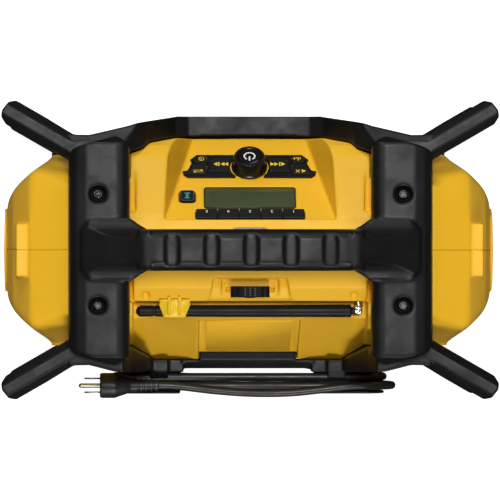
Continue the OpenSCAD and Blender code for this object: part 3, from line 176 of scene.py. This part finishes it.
def brushed_group():
    """Fine turning marks and smudges of a metal surface."""
    group, tree, given, out = new_group(
        "metal_surface",
        {"Color": (0.7, 0.7, 0.7, 1.0), "Roughness": 0.25, "Mark Size": 2600.0, "Smudge": 0.08},
        {"Color": "NodeSocketColor", "Roughness": "NodeSocketFloat", "Height": "NodeSocketFloat"})
    place = tree.add("ShaderNodeTexCoord").outputs["Object"]
    stretch = tree.add("ShaderNodeMapping")
    stretch.inputs["Scale"].default_value = (0.06, 1.0, 1.0)
    tree.link(place, stretch.inputs["Vector"])
    marks = tree.noise(given.outputs["Mark Size"], 2.0, 0.5, stretch.outputs["Vector"])
    smudge = tree.noise(120.0, 4.0, 0.6, place)
    dulled = tree.spread(smudge, 0.4, 0.7, 0.0, 0.25)
    tree.link(tree.mix(dulled, given.outputs["Color"], SMUDGE_GREY), out.inputs["Color"])
    spread = tree.math("MULTIPLY", tree.spread(smudge, 0.35, 0.7, 0.0, 1.0), given.outputs["Smudge"])
    tree.link(tree.math("ADD", given.outputs["Roughness"], spread, clamp=True), out.inputs["Roughness"])
    tree.link(marks, out.inputs["Height"])
    return group


GROUPS = {"moulded": moulded_group(), "metal": brushed_group()}


# ---------------------------------------------------------------- materials

def srgb(red, green, blue):
    """A screen colour from 0 to 255 as a linear colour with alpha."""
    def linear(value):
        value /= 255.0
        return value / 12.92 if value <= 0.04045 else ((value + 0.055) / 1.055) ** 2.4
    return linear(red), linear(green), linear(blue), 1.0


RELIEF_DEPTH = 0.0002


def surface(name, group, inputs, bump, **shader_values):
    """A Principled material whose colour, roughness and relief come from one of the groups."""
    material = bpy.data.materials.new(name)
    material.use_nodes = True
    tree = Tree(material.node_tree)
    shader = material.node_tree.nodes["Principled BSDF"]
    for socket, value in shader_values.items():
        shader.inputs[socket.replace("_", " ")].default_value = value
    look = tree.add("ShaderNodeGroup", node_tree=GROUPS[group])
    for label, value in inputs.items():
        look.inputs[label].default_value = value
    relief = tree.add("ShaderNodeBump")
    relief.inputs["Strength"].default_value = bump
    relief.inputs["Distance"].default_value = RELIEF_DEPTH
    tree.link(look.outputs["Color"], shader.inputs["Base Color"])
    tree.link(look.outputs["Roughness"], shader.inputs["Roughness"])
    tree.link(look.outputs["Height"], relief.inputs["Height"])
    tree.link(relief.outputs["Normal"], shader.inputs["Normal"])
    return material


def moulded(name, color, roughness, cloudiness=0.05, grain=900.0, handling=0.06, bump=0.12, **values):
    return surface(name, "moulded",
                   {"Color": color, "Roughness": roughness, "Cloudiness": cloudiness, "Grain Size": grain,
                    "Handling": handling}, bump, **values)


def metal(name, color, roughness, smudge=0.08, bump=0.05):
    return surface(name, "metal",
                   {"Color": color, "Roughness": roughness, "Mark Size": 2600.0, "Smudge": smudge},
                   bump, Metallic=1.0)


def tinted_window(name):
    """Smoked window over the unlit display: nearly opaque, with a gloss that catches the lamps."""
    return moulded(name, srgb(72, 82, 56), 0.14, bump=0.01, Alpha=0.94, Specular_IOR_Level=0.2)


FINISHES = {
    "housing_yellow": moulded("housing_yellow", srgb(238, 183, 38), 0.46, 0.035, Specular_IOR_Level=0.22),
    "cage_black": moulded("cage_black", srgb(21, 21, 22), 0.44, 0.12, grain=700.0, handling=0.08, bump=0.2,
                          Specular_IOR_Level=0.21),
    "foot_rubber": moulded("foot_rubber", srgb(34, 34, 34), 0.75, 0.1, grain=500.0, Specular_IOR_Level=0.2),
    "screw_black": metal("screw_black", srgb(48, 48, 50), 0.34, smudge=0.15),
    "grille_black": moulded("grille_black", srgb(32, 32, 33), 0.42, 0.08, grain=1500.0),
    "speaker_metal": metal("speaker_metal", srgb(150, 152, 156), 0.38),
    "cone_black": moulded("cone_black", srgb(24, 24, 26), 0.68, 0.1),
    "keypad_black": moulded("keypad_black", srgb(26, 26, 28), 0.36, 0.05, grain=1500.0, bump=0.06,
                            Specular_IOR_Level=0.22),
    "key_rubber": moulded("key_rubber", srgb(27, 27, 28), 0.5, 0.06, grain=1300.0, bump=0.08,
                          Specular_IOR_Level=0.25),
    "knob_black": moulded("knob_black", srgb(24, 24, 25), 0.3, 0.06, grain=1200.0, bump=0.08,
                          Specular_IOR_Level=0.3),
    "pivot_chrome": metal("pivot_chrome", srgb(196, 196, 198), 0.2, smudge=0.05, bump=0.01),
    "pin_steel": metal("pin_steel", srgb(176, 174, 168), 0.3),
    "display_glass": tinted_window("display_glass"),
    "display_olive": moulded("display_olive", srgb(70, 80, 54), 0.3, 0.05, bump=0.01),
    "board_green": moulded("board_green", srgb(30, 88, 48), 0.35, 0.1),
    "supply_grey": moulded("supply_grey", srgb(60, 62, 66), 0.5),
    "plate_grey": moulded("plate_grey", srgb(112, 116, 132), 0.4),
    "seal_rubber": moulded("seal_rubber", srgb(26, 26, 26), 0.85),
    "clip_yellow": moulded("clip_yellow", srgb(240, 196, 42), 0.34, 0.02, bump=0.05, Specular_IOR_Level=0.25),
    "cord_rubber": moulded("cord_rubber", srgb(36, 36, 37), 0.42, 0.1, grain=600.0, handling=0.1, bump=0.12,
                           Specular_IOR_Level=0.4),
}
SPECIAL = {
    "door_latch": moulded("latch_black", srgb(13, 13, 14), 0.5, bump=0.05, Specular_IOR_Level=0.08),
    "antenna": moulded("antenna_black", srgb(24, 24, 26), 0.45, bump=0.05, Specular_IOR_Level=0.14),
}
PRINT = {
    "white": moulded("print_white", srgb(235, 235, 235), 0.5, bump=0.02),
    "yellow": moulded("print_yellow", srgb(240, 200, 40), 0.5, bump=0.02),
    "teal": moulded("print_teal", srgb(64, 190, 196), 0.5, bump=0.02),
    # black serves the window's printed border and the painted shade ring behind the grilles
    "black": moulded("print_and_painted_shade_black", srgb(20, 22, 18), 0.4, bump=0.02),
    # slate is the painted highlight round the source key's edge
    "slate": moulded("painted_rim_highlight", srgb(62, 68, 78), 0.4, bump=0.02),
    # pip greys the latch's small ribs as a painted highlight
    "pip": moulded("pip_painted_highlight", srgb(64, 64, 67), 0.4, bump=0.02, Specular_IOR_Level=0.2),
}


# ---------------------------------------------------------------- mesh helpers

def new_object(name, mesh):
    piece = bpy.data.objects.new(name, mesh)
    COLLECTION.objects.link(piece)
    return piece


def from_bmesh(name, bm):
    mesh = bpy.data.meshes.new(name)
    bm.normal_update()
    bm.to_mesh(mesh)
    bm.free()
    return new_object(name, mesh)


MERGE_WITHIN = 2e-6
COLLAPSE_WITHIN = 1e-6


def node_copy(node, name):
    """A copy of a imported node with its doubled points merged."""
    bm = bmesh.new()
    bm.from_mesh(nodes[node].data)
    bmesh.ops.remove_doubles(bm, verts=bm.verts, dist=MERGE_WITHIN)
    bmesh.ops.dissolve_degenerate(bm, edges=bm.edges, dist=COLLAPSE_WITHIN)
    return from_bmesh(name, bm)


def settle(piece):
    """Turns what the modifiers make into the piece's own mesh."""
    bpy.context.view_layer.update()
    done = piece.evaluated_get(bpy.context.evaluated_depsgraph_get())
    mesh = bpy.data.meshes.new_from_object(done)
    piece.modifiers.clear()
    old = piece.data
    piece.data = mesh
    bpy.data.meshes.remove(old)


def smooth(piece):
    piece.data.polygons.foreach_set("use_smooth", [True] * len(piece.data.polygons))
    piece.data.update()


def add_modifier(piece, kind, **values):
    modifier = piece.modifiers.new(kind.lower(), kind)
    for name, value in values.items():
        setattr(modifier, name, value)
    return modifier


def paint(piece, material):
    piece.data.materials.clear()
    piece.data.materials.append(material)


def stands_for(piece, node):
    """The piece takes the node's place, its body and its finish."""
    slot = SLOT_OF[node]
    paint(piece, SPECIAL.get(node, FINISHES[slot]))
    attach(piece, BODY_OF[node])
    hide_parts(node)


def belongs_to(piece, node, material):
    """The piece is trim on a node: it moves with it and takes the given material."""
    paint(piece, material)
    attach(piece, BODY_OF[node])


# ---------------------------------------------------------------- the power cord

CORD_D = 7.5
TURN_PITCH = 8.1
TURN_Y = 116.6
TURN_RUN = 94.0
FAR_RUN = 97.4
TURN_R = 28.0
TURN_Z = 55.0
INNER_TURNS = 1.63
LAST_TURN = 2.37
CORD_EXIT = Vector((32.0, 104.0, TURN_Z - TURN_R))
BOOT_END = Vector((81.7, 124.0, TURN_Z + TURN_R + 16.5))
FIRST_RUN = [(-14, 104.2), (-44, 105), (-66, 108.4)]
LAST_RUN = [(-70, 127.6, 92.4), (-40, 130.6, 94), (-5, 131, 95.8), (30, 128.6, 97.6), (60, 125, 99.2)]
# shares of a turn: half the bottom run, one end, the top run, the other end
RUN_1, RUN_2, RUN_3, RUN_4 = 0.13, 0.37, 0.63, 0.87
END_SHARE = 0.24
LAYER_DONE = 1.13
RINGS_PER_END = 10
CUTS_PER_POINT = 5


def turn_point(t, radius, y):
    """A point on a turn round the hooks; t counts turns from the middle of the bottom run."""
    u = t - math.floor(t)
    if u < RUN_1:
        return Vector((-FAR_RUN * u / RUN_1, y, TURN_Z - radius))
    if u < RUN_2:
        angle = math.pi * (u - RUN_1) / (RUN_2 - RUN_1)
        return Vector((-FAR_RUN - radius * math.sin(angle), y, TURN_Z - radius * math.cos(angle)))
    if u < RUN_3:
        along = (u - RUN_2) / (RUN_3 - RUN_2)
        return Vector((-FAR_RUN + (FAR_RUN + TURN_RUN) * along, y, TURN_Z + radius))
    if u < RUN_4:
        angle = math.pi * (u - RUN_3) / (RUN_4 - RUN_3)
        return Vector((TURN_RUN + radius * math.sin(angle), y, TURN_Z + radius * math.cos(angle)))
    return Vector((TURN_RUN * (1 - u) / RUN_1, y, TURN_Z - radius))


def ease(t, low, high):
    """A smooth step from 0 to 1 between low and high."""
    v = min(1.0, max(0.0, (t - low) / (high - low)))
    return v * v * (3 - 2 * v)


def cord_route():
    """The cord's points: out of the strain relief, round the hooks, and up to the plug's boot."""
    last = RINGS_PER_END - 1
    steps = [0.05] + [RUN_1 + END_SHARE * i / last for i in range(RINGS_PER_END)] + [0.457, 0.543]
    steps += [RUN_3 + END_SHARE * i / last for i in range(RINGS_PER_END)] + [0.957]
    turns = [n + s for n in range(3) for s in steps if 0.1 < n + s <= LAST_TURN]
    route = [CORD_EXIT, CORD_EXIT - Vector((CORD_D, 0, 0))]
    route += [Vector((*p, CORD_EXIT.z)) for p in FIRST_RUN]
    route += [turn_point(t, TURN_R + TURN_PITCH * ease(t, INNER_TURNS, INNER_TURNS + END_SHARE),
                         TURN_Y + TURN_PITCH * ease(t, RUN_4, LAYER_DONE)) for t in turns]
    route += [Vector(p) for p in LAST_RUN]
    return route + [BOOT_END - Vector((CORD_D, 0, 0)), BOOT_END]


def through(points, parts):
    """A smooth curve through points, each stretch cut into a number of parts."""
    ends = [2 * points[0] - points[1]] + points + [2 * points[-1] - points[-2]]
    curve = []
    for i in range(1, len(ends) - 2):
        a, b, c, d = ends[i - 1:i + 3]
        tb = max((b - a).length, 1e-9) ** 0.5
        tc = tb + (c - b).length ** 0.5
        td = tc + max((d - c).length, 1e-9) ** 0.5
        for k in range(parts):
            t = tb + (tc - tb) * k / parts
            ab = a + (b - a) * (t / tb)
            bc = b + (c - b) * ((t - tb) / (tc - tb))
            cd = c + (d - c) * ((t - tc) / (td - tc))
            abc = ab + (bc - ab) * (t / tc)
            bcd = bc + (cd - bc) * ((t - tb) / (td - tb))
            curve.append(abc + (bcd - abc) * ((t - tb) / (tc - tb)))
    return curve + [points[-1]]


def make_cord():
    """The lead as one round tube along its route."""
    path = [p * MM for p in through(cord_route(), CUTS_PER_POINT)]
    data = bpy.data.curves.new("cord_lead", "CURVE")
    data.dimensions = "3D"
    spline = data.splines.new("POLY")
    spline.points.add(len(path) - 1)
    for target, p in zip(spline.points, path):
        target.co = (*p, 1.0)
    data.bevel_depth = CORD_D * MM / 2
    data.bevel_resolution = 6
    data.use_fill_caps = True
    lead = bpy.data.objects.new("cord_lead", data)
    COLLECTION.objects.link(lead)
    data.materials.append(FINISHES["cord_rubber"])
    length = sum((b - a).length for a, b in zip(path, path[1:]))
    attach(lead, "radio")
    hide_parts("power_cord")
    return lead, length


make_camera()
lead, lead_length = make_cord()


# ---------------------------------------------------------------- housing and cage

def ramp(value, low, high):
    return min(1.0, max(0.0, (value - low) / (high - low)))


SPEAKER_X, SPEAKER_Z = 123, 122
SHELL_SCREW_X = 184.5
SHELL_SCREW_LEVELS = (84, 178)
# distances over which the pods' rounds set in, in millimetres
PODS_BEGIN = (163, 172)
OFF_THE_SEAM = (27, 40)
OFF_THE_GRILLE = (60, 68)
OFF_THE_SCREWS = (7, 12)


def pod_softness(point):
    """Share of the pods' large rounds at a point: none at the seam's pad, the grille and the screws."""
    x, y, z = abs(point.x) / MM, point.y / MM, point.z / MM
    share = ramp(x, *PODS_BEGIN) * ramp(abs(y), *OFF_THE_SEAM)
    if y < 0:
        return share * ramp(math.hypot(x - SPEAKER_X, z - SPEAKER_Z), *OFF_THE_GRILLE)
    nearest = min(math.hypot(x - SHELL_SCREW_X, z - level) for level in SHELL_SCREW_LEVELS)
    return share * ramp(nearest, *OFF_THE_SCREWS)


def soften(piece, share, rounds):
    """Smooths a piece further where share gives more than nothing."""
    group = piece.vertex_groups.new(name="soft")
    for vertex in piece.data.vertices:
        weight = share(vertex.co)
        if weight > 0.0:
            group.add([vertex.index], weight, "REPLACE")
    add_modifier(piece, "SMOOTH", factor=0.5, iterations=rounds, vertex_group="soft")


POD_ROUNDS = 160
BEVEL_SEGMENTS = 2
BEVEL_ANGLE = math.radians(35)
FLAT_ANGLE = math.radians(0.5)


def skin(node, voxel, rounds, keep):
    """A moulded part as it leaves the tool: the node's solid with every edge and corner softened."""
    piece = node_copy(node, node + "_skin")
    coarse = 1.0
    add_modifier(piece, "REMESH", mode="VOXEL", voxel_size=voxel * coarse * MM, adaptivity=0.0,
                 use_smooth_shade=True)
    add_modifier(piece, "SMOOTH", factor=0.5, iterations=int(rounds / coarse))
    if node in ("front_shell", "rear_shell"):
        settle(piece)
        soften(piece, pod_softness, int(POD_ROUNDS / coarse ** 2))
    add_modifier(piece, "DECIMATE", decimate_type="COLLAPSE", ratio=min(1.0, keep * coarse))
    add_modifier(piece, "WEIGHTED_NORMAL", weight=60)
    settle(piece)
    smooth(piece)
    stands_for(piece, node)


def eased(node, width):
    """A small part with a fine round on its sharp edges."""
    piece = node_copy(node, node + "_skin")
    bm = bmesh.new()
    bm.from_mesh(piece.data)
    bmesh.ops.dissolve_limit(bm, angle_limit=FLAT_ANGLE, verts=bm.verts, edges=bm.edges)
    bm.to_mesh(piece.data)
    bm.free()
    add_modifier(piece, "BEVEL", width=width * MM, segments=BEVEL_SEGMENTS, limit_method="ANGLE",
                 angle_limit=BEVEL_ANGLE, use_clamp_overlap=True, harden_normals=False)
    add_modifier(piece, "WEIGHTED_NORMAL", weight=60)
    settle(piece)
    smooth(piece)
    stands_for(piece, node)


# voxel in millimetres, rounds of smoothing, share of the faces kept
SKINS = {
    "front_shell": (1.0, 10, 0.2), "rear_shell": (1.0, 7, 0.2), "top_frame": (1.0, 20, 0.3),
    "front_bumper": (1.0, 8, 0.4), "rear_guard": (1.0, 8, 0.35), "bottom_frame": (1.3, 6, 0.3),
    "feet": (0.6, 6, 0.3), "keypad_left": (0.35, 2, 0.35), "keypad_right": (0.35, 2, 0.35),
    "source_key": (0.3, 4, 0.4),
    "seek_back_key": (0.3, 3, 0.35), "seek_forward_key": (0.3, 3, 0.35), "clock_key": (0.3, 3, 0.35),
    "mode_key": (0.3, 3, 0.35), "tone_key": (0.3, 3, 0.35), "mute_key": (0.3, 3, 0.35),
}
SKINS.update({f"preset_key_{i}": (0.3, 2, 0.35) for i in range(1, 6)})
for node, (voxel, rounds, keep) in SKINS.items():
    skin(node, voxel, rounds, keep)

# width of the round in millimetres
EASED = {
    "end_plate_left": 0.6, "end_plate_right": 0.6, "rear_door": 0.8,
    "door_latch": 0.4, "antenna_clip": 0.5, "top_plate": 0.25,
    "volume_knob": 0.4, "power_button": 0.7, "antenna": 0.3, "antenna_knuckle": 0.3, "antenna_bush": 0.3,
    "antenna_pin": 0.2, "display_window": 0.3, "plug": 0.4, "plug_pins": 0.2, "strain_relief": 0.3,
    "grille_left": 0.25, "grille_right": 0.25, "cage_screws": 0.25, "base_screws": 0.25, "shell_screws": 0.25,
    "speaker_cone_left": 0.4, "speaker_cone_right": 0.4, "door_seal": 0.5,
}
for node, width in EASED.items():
    eased(node, width)

for node, piece in nodes.items():
    if node not in SKINS and node not in EASED and node != "power_cord":
        paint(piece, FINISHES[SLOT_OF[node]])


# ---------------------------------------------------------------- repeated small forms

def bar_grid_group():
    """Rows and columns of one small bar."""
    group = bpy.data.node_groups.new("bar_grid", "GeometryNodeTree")
    for label, kind in {"Columns": "Int", "Rows": "Int", "Column Step": "Float", "Row Step": "Float",
                        "Bar Size": "Vector", "Material": "Material"}.items():
        group.interface.new_socket(label, in_out="INPUT", socket_type="NodeSocket" + kind)
    group.interface.new_socket("Geometry", in_out="OUTPUT", socket_type="NodeSocketGeometry")
    tree = Tree(group)
    given, out = tree.add("NodeGroupInput"), tree.add("NodeGroupOutput")

    def line(count, step, axis):
        row = tree.add("GeometryNodeMeshLine")
        tree.link(given.outputs[count], row.inputs["Count"])
        along = tree.add("ShaderNodeCombineXYZ")
        tree.link(given.outputs[step], along.inputs[axis])
        tree.link(along.outputs[0], row.inputs["Offset"])
        return row.outputs["Mesh"]

    def spread_over(points, item):
        copies = tree.add("GeometryNodeInstanceOnPoints")
        tree.link(points, copies.inputs["Points"])
        tree.link(item, copies.inputs["Instance"])
        real = tree.add("GeometryNodeRealizeInstances")
        tree.link(copies.outputs["Instances"], real.inputs["Geometry"])
        return real.outputs["Geometry"]

    bar = tree.add("GeometryNodeMeshCube")
    tree.link(given.outputs["Bar Size"], bar.inputs["Size"])
    places = spread_over(line("Rows", "Row Step", "Y"), line("Columns", "Column Step", "X"))
    finish = tree.add("GeometryNodeSetMaterial")
    tree.link(spread_over(places, bar.outputs["Mesh"]), finish.inputs["Geometry"])
    tree.link(given.outputs["Material"], finish.inputs["Material"])
    tree.link(finish.outputs["Geometry"], out.inputs["Geometry"])
    return group


BAR_GRID = bar_grid_group()


def bar_grid(name, node, place, columns, rows, column_step, row_step, size, material):
    """A centred grid of small bars on a node, all lengths in millimetres, laid out in the frame 'place'."""
    piece = new_object(name, bpy.data.meshes.new(name))
    modifier = add_modifier(piece, "NODES", node_group=BAR_GRID)
    values = {"Columns": columns, "Rows": rows, "Column Step": column_step * MM, "Row Step": row_step * MM,
              "Bar Size": [side * MM for side in size], "Material": material}
    for item in BAR_GRID.interface.items_tree:
        if item.in_out == "INPUT":
            modifier[item.identifier] = values[item.name]
    settle(piece)
    middle = metres(-column_step * (columns - 1) / 2, -row_step * (rows - 1) / 2, 0)
    piece.data.transform(place @ Matrix.Translation(middle))
    belongs_to(piece, node, material)


# ---------------------------------------------------------------- printed marks, painted shade and painted highlights

PANEL_TILT = math.radians(48)
PANEL_TOP = metres(0, -26, 235)
KEY_TOP = 2.2
SOURCE_TOP = KEY_TOP - 1
PRESET_TOP = KEY_TOP - 0.8
SOURCE_X, SOURCE_S = 56.1, 32.9
WINDOW_S = 31.5
KNOB_S, KNOB_TOP = 71.9, 13.8
SEEK_X, SEEK_S = 25.6, 74.5
UPPER_S, LOWER_S = 65.0, 81.6
PRESET_COUNT = 5
PRESET_ROW, PRESET_S = 97, 11.4
PRINT_LIFT = 0.05
NUMERAL_HEIGHT = 3.6
TYPE_SIZE = 1.38
GRILLE_BACK = -83.8
LATCH_Y, LATCH_TOP = 37.35, 227.3


def panel_place(x, down, lift):
    """Frame on the control panel: x to the reader's right, y up the slope, z out of it."""
    turn = Matrix.Rotation(PANEL_TILT, 4, "X")
    return Matrix.Translation(PANEL_TOP) @ turn @ Matrix.Translation(metres(x, -down, lift))


def level_place(x, y, z):
    return Matrix.Translation(metres(x, y, z))


def mark(name, node, place, outlines, material):
    """Print, painted shade or a painted highlight on a node: flat outlines in millimetres."""
    bm = bmesh.new()
    for outline in outlines:
        corners = [bm.verts.new(metres(x, y, PRINT_LIFT)) for x, y in outline]
        bm.faces.new(corners)
    bmesh.ops.recalc_face_normals(bm, faces=bm.faces)
    if sum(face.normal.z for face in bm.faces) < 0:
        bmesh.ops.reverse_faces(bm, faces=bm.faces)
    bm.transform(place)
    belongs_to(from_bmesh(name, bm), node, material)


def arc(radius, width, start, end, steps):
    """Quads of a ring segment between two angles in degrees."""
    quads = []
    for k in range(steps):
        a, b = (math.radians(start + (end - start) * (k + i) / steps) for i in (0, 1))
        inner, outer = radius - width / 2, radius + width / 2
        quads.append([(r * math.cos(t), r * math.sin(t))
                      for r, t in ((inner, a), (outer, a), (outer, b), (inner, b))])
    return quads


def box(x0, y0, x1, y1):
    return [(x0, y0), (x1, y0), (x1, y1), (x0, y1)]


def shifted(outlines, dx, flip):
    return [[(flip * x + dx, y) for x, y in outline] for outline in outlines]


def digit(name, node, place, text, height, material):
    """A plain numeral in the built-in typeface."""
    data = bpy.data.curves.new(name, "FONT")
    data.body = text
    data.size = height * TYPE_SIZE * MM
    data.align_x = data.align_y = "CENTER"
    letter = bpy.data.objects.new(name + "_text", data)
    COLLECTION.objects.link(letter)
    bpy.context.view_layer.update()
    mesh = bpy.data.meshes.new_from_object(letter.evaluated_get(bpy.context.evaluated_depsgraph_get()))
    bpy.data.objects.remove(letter)
    bpy.data.curves.remove(data)
    mesh.transform(place @ Matrix.Translation(metres(0, 0, PRINT_LIFT)))
    belongs_to(new_object(name, mesh), node, material)


POWER_MARK = arc(4.75, 1.35, 122, 418, 40) + [box(-0.68, 0.3, 0.68, 6.1)]
SKIP_MARK = [
    [(-6.7, -2.6), (-3.0, 0), (-6.7, 2.6)], [(-3.1, -2.6), (0.6, 0), (-3.1, 2.6)], box(1.2, -2.6, 2.3, 2.6),
    [(3.1, -2.6), (6.8, 0), (3.1, 2.6)],
]
CLOCK_MARK = arc(2.3, 0.6, 0, 360, 32) + [box(-0.25, -0.2, 0.25, 1.7), box(-0.25, -0.25, 1.3, 0.25)]
MODE_MARK = [
    box(-4.6, 0.9, 2.6, 1.5), [(2.4, 0.1), (4.8, 1.2), (2.4, 2.3)],
    box(-2.6, -1.5, 4.6, -0.9), [(-2.4, -2.3), (-2.4, -0.1), (-4.8, -1.2)],
]
TONE_MARK = [
    box(-3.4, -2.1, -2.5, 0.6), box(-1.6, -2.1, -0.7, 2.2), box(0.2, -2.1, 1.1, -0.2),
    box(2.0, -2.1, 2.9, 1.4),
]
MUTE_MARK = [
    box(-4.4, -1.0, -3.0, 1.0), [(-3.0, -1.0), (-1.0, -2.3), (-1.0, 2.3), (-3.0, 1.0)],
    [(0.6, -1.7), (1.1, -2.2), (4.5, 1.7), (4.0, 2.2)], [(0.6, 1.7), (1.1, 2.2), (4.5, -1.7), (4.0, -2.2)],
]
WAVE_MARK = (arc(0.45, 0.9, 0, 360, 16) + arc(2.1, 0.7, 50, 130, 8) + arc(3.6, 0.7, 50, 130, 8)
             + arc(2.1, 0.7, 230, 310, 8) + arc(3.6, 0.7, 230, 310, 8))


CORNER_MARKS = {
    "clock": (43.2, LOWER_S, CLOCK_MARK), "mode": (46.2, UPPER_S, MODE_MARK),
    "tone": (-43.0, LOWER_S, TONE_MARK), "mute": (-46.0, UPPER_S, MUTE_MARK),
}


def make_marks():
    mark("power_mark", "power_button", panel_place(0, KNOB_S, KNOB_TOP), POWER_MARK, PRINT["white"])
    for node, side in (("seek_forward_key", 1), ("seek_back_key", -1)):
        mark(node + "_mark", node, panel_place(0, SEEK_S, KEY_TOP), shifted(SKIP_MARK, side * SEEK_X, side),
             PRINT["yellow"])
    for key, (x, down, sign) in CORNER_MARKS.items():
        mark(key + "_mark", key + "_key", panel_place(x, down, KEY_TOP), sign, PRINT["yellow"])
    mark("source_mark", "source_key", panel_place(SOURCE_X, SOURCE_S, SOURCE_TOP), WAVE_MARK, PRINT["teal"])
    for i in range(1, PRESET_COUNT + 1):
        node = f"preset_key_{i}"
        x = PRESET_ROW / 2 - PRESET_ROW / PRESET_COUNT * (PRESET_COUNT + 0.5 - i)
        digit(node + "_mark", node, panel_place(x, PRESET_S, PRESET_TOP), str(i), NUMERAL_HEIGHT,
              PRINT["white"])


def rounded_outline(width, height, radius):
    """Corner points of a rounded rectangle round the origin, counter-clockwise."""
    steps = 8
    corners = [(1, 1, 0), (-1, 1, 90), (-1, -1, 180), (1, -1, 270)]
    return [(sx * (width / 2 - radius) + radius * math.cos(math.radians(start + 90 * k / steps)),
             sy * (height / 2 - radius) + radius * math.sin(math.radians(start + 90 * k / steps)))
            for sx, sy, start in corners for k in range(steps + 1)]


def border(width, height, radius, line):
    """Quads of a rounded frame with its outer size and line width."""
    outer = rounded_outline(width, height, radius)
    inner = rounded_outline(width - 2 * line, height - 2 * line, radius - line)
    return [[outer[i - 1], outer[i], inner[i], inner[i - 1]] for i in range(len(outer))]


FOOT_TOP = -1 * MM


def clear_pocket(piece, place, across, deep):
    """Draws a key in and shortens its hidden foot by these shares.

    The pressed key then clears the softened edge and floor of its pocket.
    """
    inverse = place.inverted()
    for vertex in piece.data.vertices:
        x, y, z = inverse @ vertex.co
        if z < FOOT_TOP:
            z = FOOT_TOP + (z - FOOT_TOP) * deep
        vertex.co = place @ Vector((x * across, y * across, z))


clear_pocket(bpy.data.objects["source_key_skin"], panel_place(SOURCE_X, SOURCE_S, 0), across=0.96, deep=0.65)
make_marks()
mark("window_border", "display_window", panel_place(0, WINDOW_S, -0.3),
     border(width=82.4, height=28.5, radius=3.0, line=1.1), PRINT["black"])
# A lighter slate ring round the source key's face: a painted highlight on its rounded edge.
mark("source_rim", "source_key", panel_place(SOURCE_X, SOURCE_S, SOURCE_TOP),
     border(width=12.6, height=14.0, radius=2.6, line=0.9), PRINT["slate"])
# A black ring behind each grille: painted shade over the housing's rim seen through the outer holes.
for node, side in (("grille_left", 1), ("grille_right", -1)):
    behind = level_place(side * SPEAKER_X, GRILLE_BACK, SPEAKER_Z) @ Matrix.Rotation(math.pi / 2, 4, "X")
    mark(node + "_shade", node, behind, arc(50.3, 10.8, 0, 360, 64), PRINT["black"])
# Small ribs on the latch, coloured a lighter grey than the latch as a painted highlight.
bar_grid("latch_pips", "door_latch", level_place(0, LATCH_Y, LATCH_TOP), columns=3, rows=4, column_step=4.4,
         row_step=2.1, size=(1.3, 1.1, 0.9), material=PRINT["pip"])


# ---------------------------------------------------------------- room and light

REFLECTED_FLOOR = (0.03, 0.03, 0.03, 1.0)
FLOOR_REACH = 6.0
LAMP_AIM = Vector((0, 0, 0.15))


def camera_white(name, diffuse, glow):
    """White to the camera, dark in reflections, a plain pale surface to all other light."""
    material = bpy.data.materials.new(name)
    material.use_nodes = True
    tree = Tree(material.node_tree)
    material.node_tree.nodes.clear()
    path = tree.add("ShaderNodeLightPath")
    seen = tree.math("MAXIMUM", path.outputs["Is Camera Ray"], path.outputs["Is Transmission Ray"])
    pale = tree.add("ShaderNodeBsdfDiffuse")
    white = tree.add("ShaderNodeEmission")
    tree.link(tree.math("MULTIPLY", seen, glow), white.inputs["Strength"])
    color = tree.mix(path.outputs["Is Glossy Ray"], (diffuse, diffuse, diffuse, 1.0), REFLECTED_FLOOR)
    tree.link(color, pale.inputs["Color"])
    both = tree.add("ShaderNodeAddShader")
    tree.link(pale.outputs[0], both.inputs[0])
    tree.link(white.outputs[0], both.inputs[1])
    tree.link(both.outputs[0], tree.add("ShaderNodeOutputMaterial").inputs["Surface"])
    return material


def make_floor():
    bm = bmesh.new()
    bmesh.ops.create_grid(bm, x_segments=1, y_segments=1, size=FLOOR_REACH)
    floor = from_bmesh("studio_floor", bm)
    paint(floor, camera_white("studio_white", diffuse=0.55, glow=0.92))


def make_world(front, back, high, sheen):
    """A pale dome, dimmer behind the radio; plain white to the camera, dark sideways in reflections."""
    world = bpy.data.worlds.new("studio")
    bpy.context.scene.world = world
    world.use_nodes = True
    tree = Tree(world.node_tree)
    background = world.node_tree.nodes["Background"]
    path = tree.add("ShaderNodeLightPath")
    seen = tree.math("MAXIMUM", path.outputs["Is Camera Ray"], path.outputs["Is Transmission Ray"])
    split = tree.add("ShaderNodeSeparateXYZ")
    tree.link(tree.add("ShaderNodeTexCoord").outputs["Generated"], split.inputs[0])
    around = tree.spread(split.outputs["Y"], -0.1, 0.9, front, back)
    dome = tree.spread(split.outputs["Z"], 0.1, 0.95, around, high)
    mirrored = tree.spread(split.outputs["Z"], 0.5, 0.95, 0.0, sheen)
    light = tree.spread(path.outputs["Is Glossy Ray"], 0.0, 1.0, dome, mirrored)
    tree.link(tree.spread(seen, 0.0, 1.0, light, 1.0), background.inputs["Strength"])


def make_lamp(name, place, power, size):
    data = bpy.data.lights.new(name, "AREA")
    data.shape = "DISK"
    data.size = size
    data.energy = power
    lamp = bpy.data.objects.new(name, data)
    COLLECTION.objects.link(lamp)
    lamp.location = place
    lamp.rotation_euler = (Vector(place) - LAMP_AIM).to_track_quat("Z", "Y").to_euler()


make_floor()
make_world(front=2.15, back=0.95, high=2.0, sheen=2.4)
make_lamp("top_lamp", (-0.1, -0.9, 5.9), power=190.0, size=1.6)
make_lamp("front_lamp", (0.4, -2.4, 1.9), power=34.0, size=1.4)
make_lamp("back_lamp", (-0.3, 2.4, 1.8), power=38.0, size=1.0)

bpy.context.scene.view_settings.view_transform = "Standard"
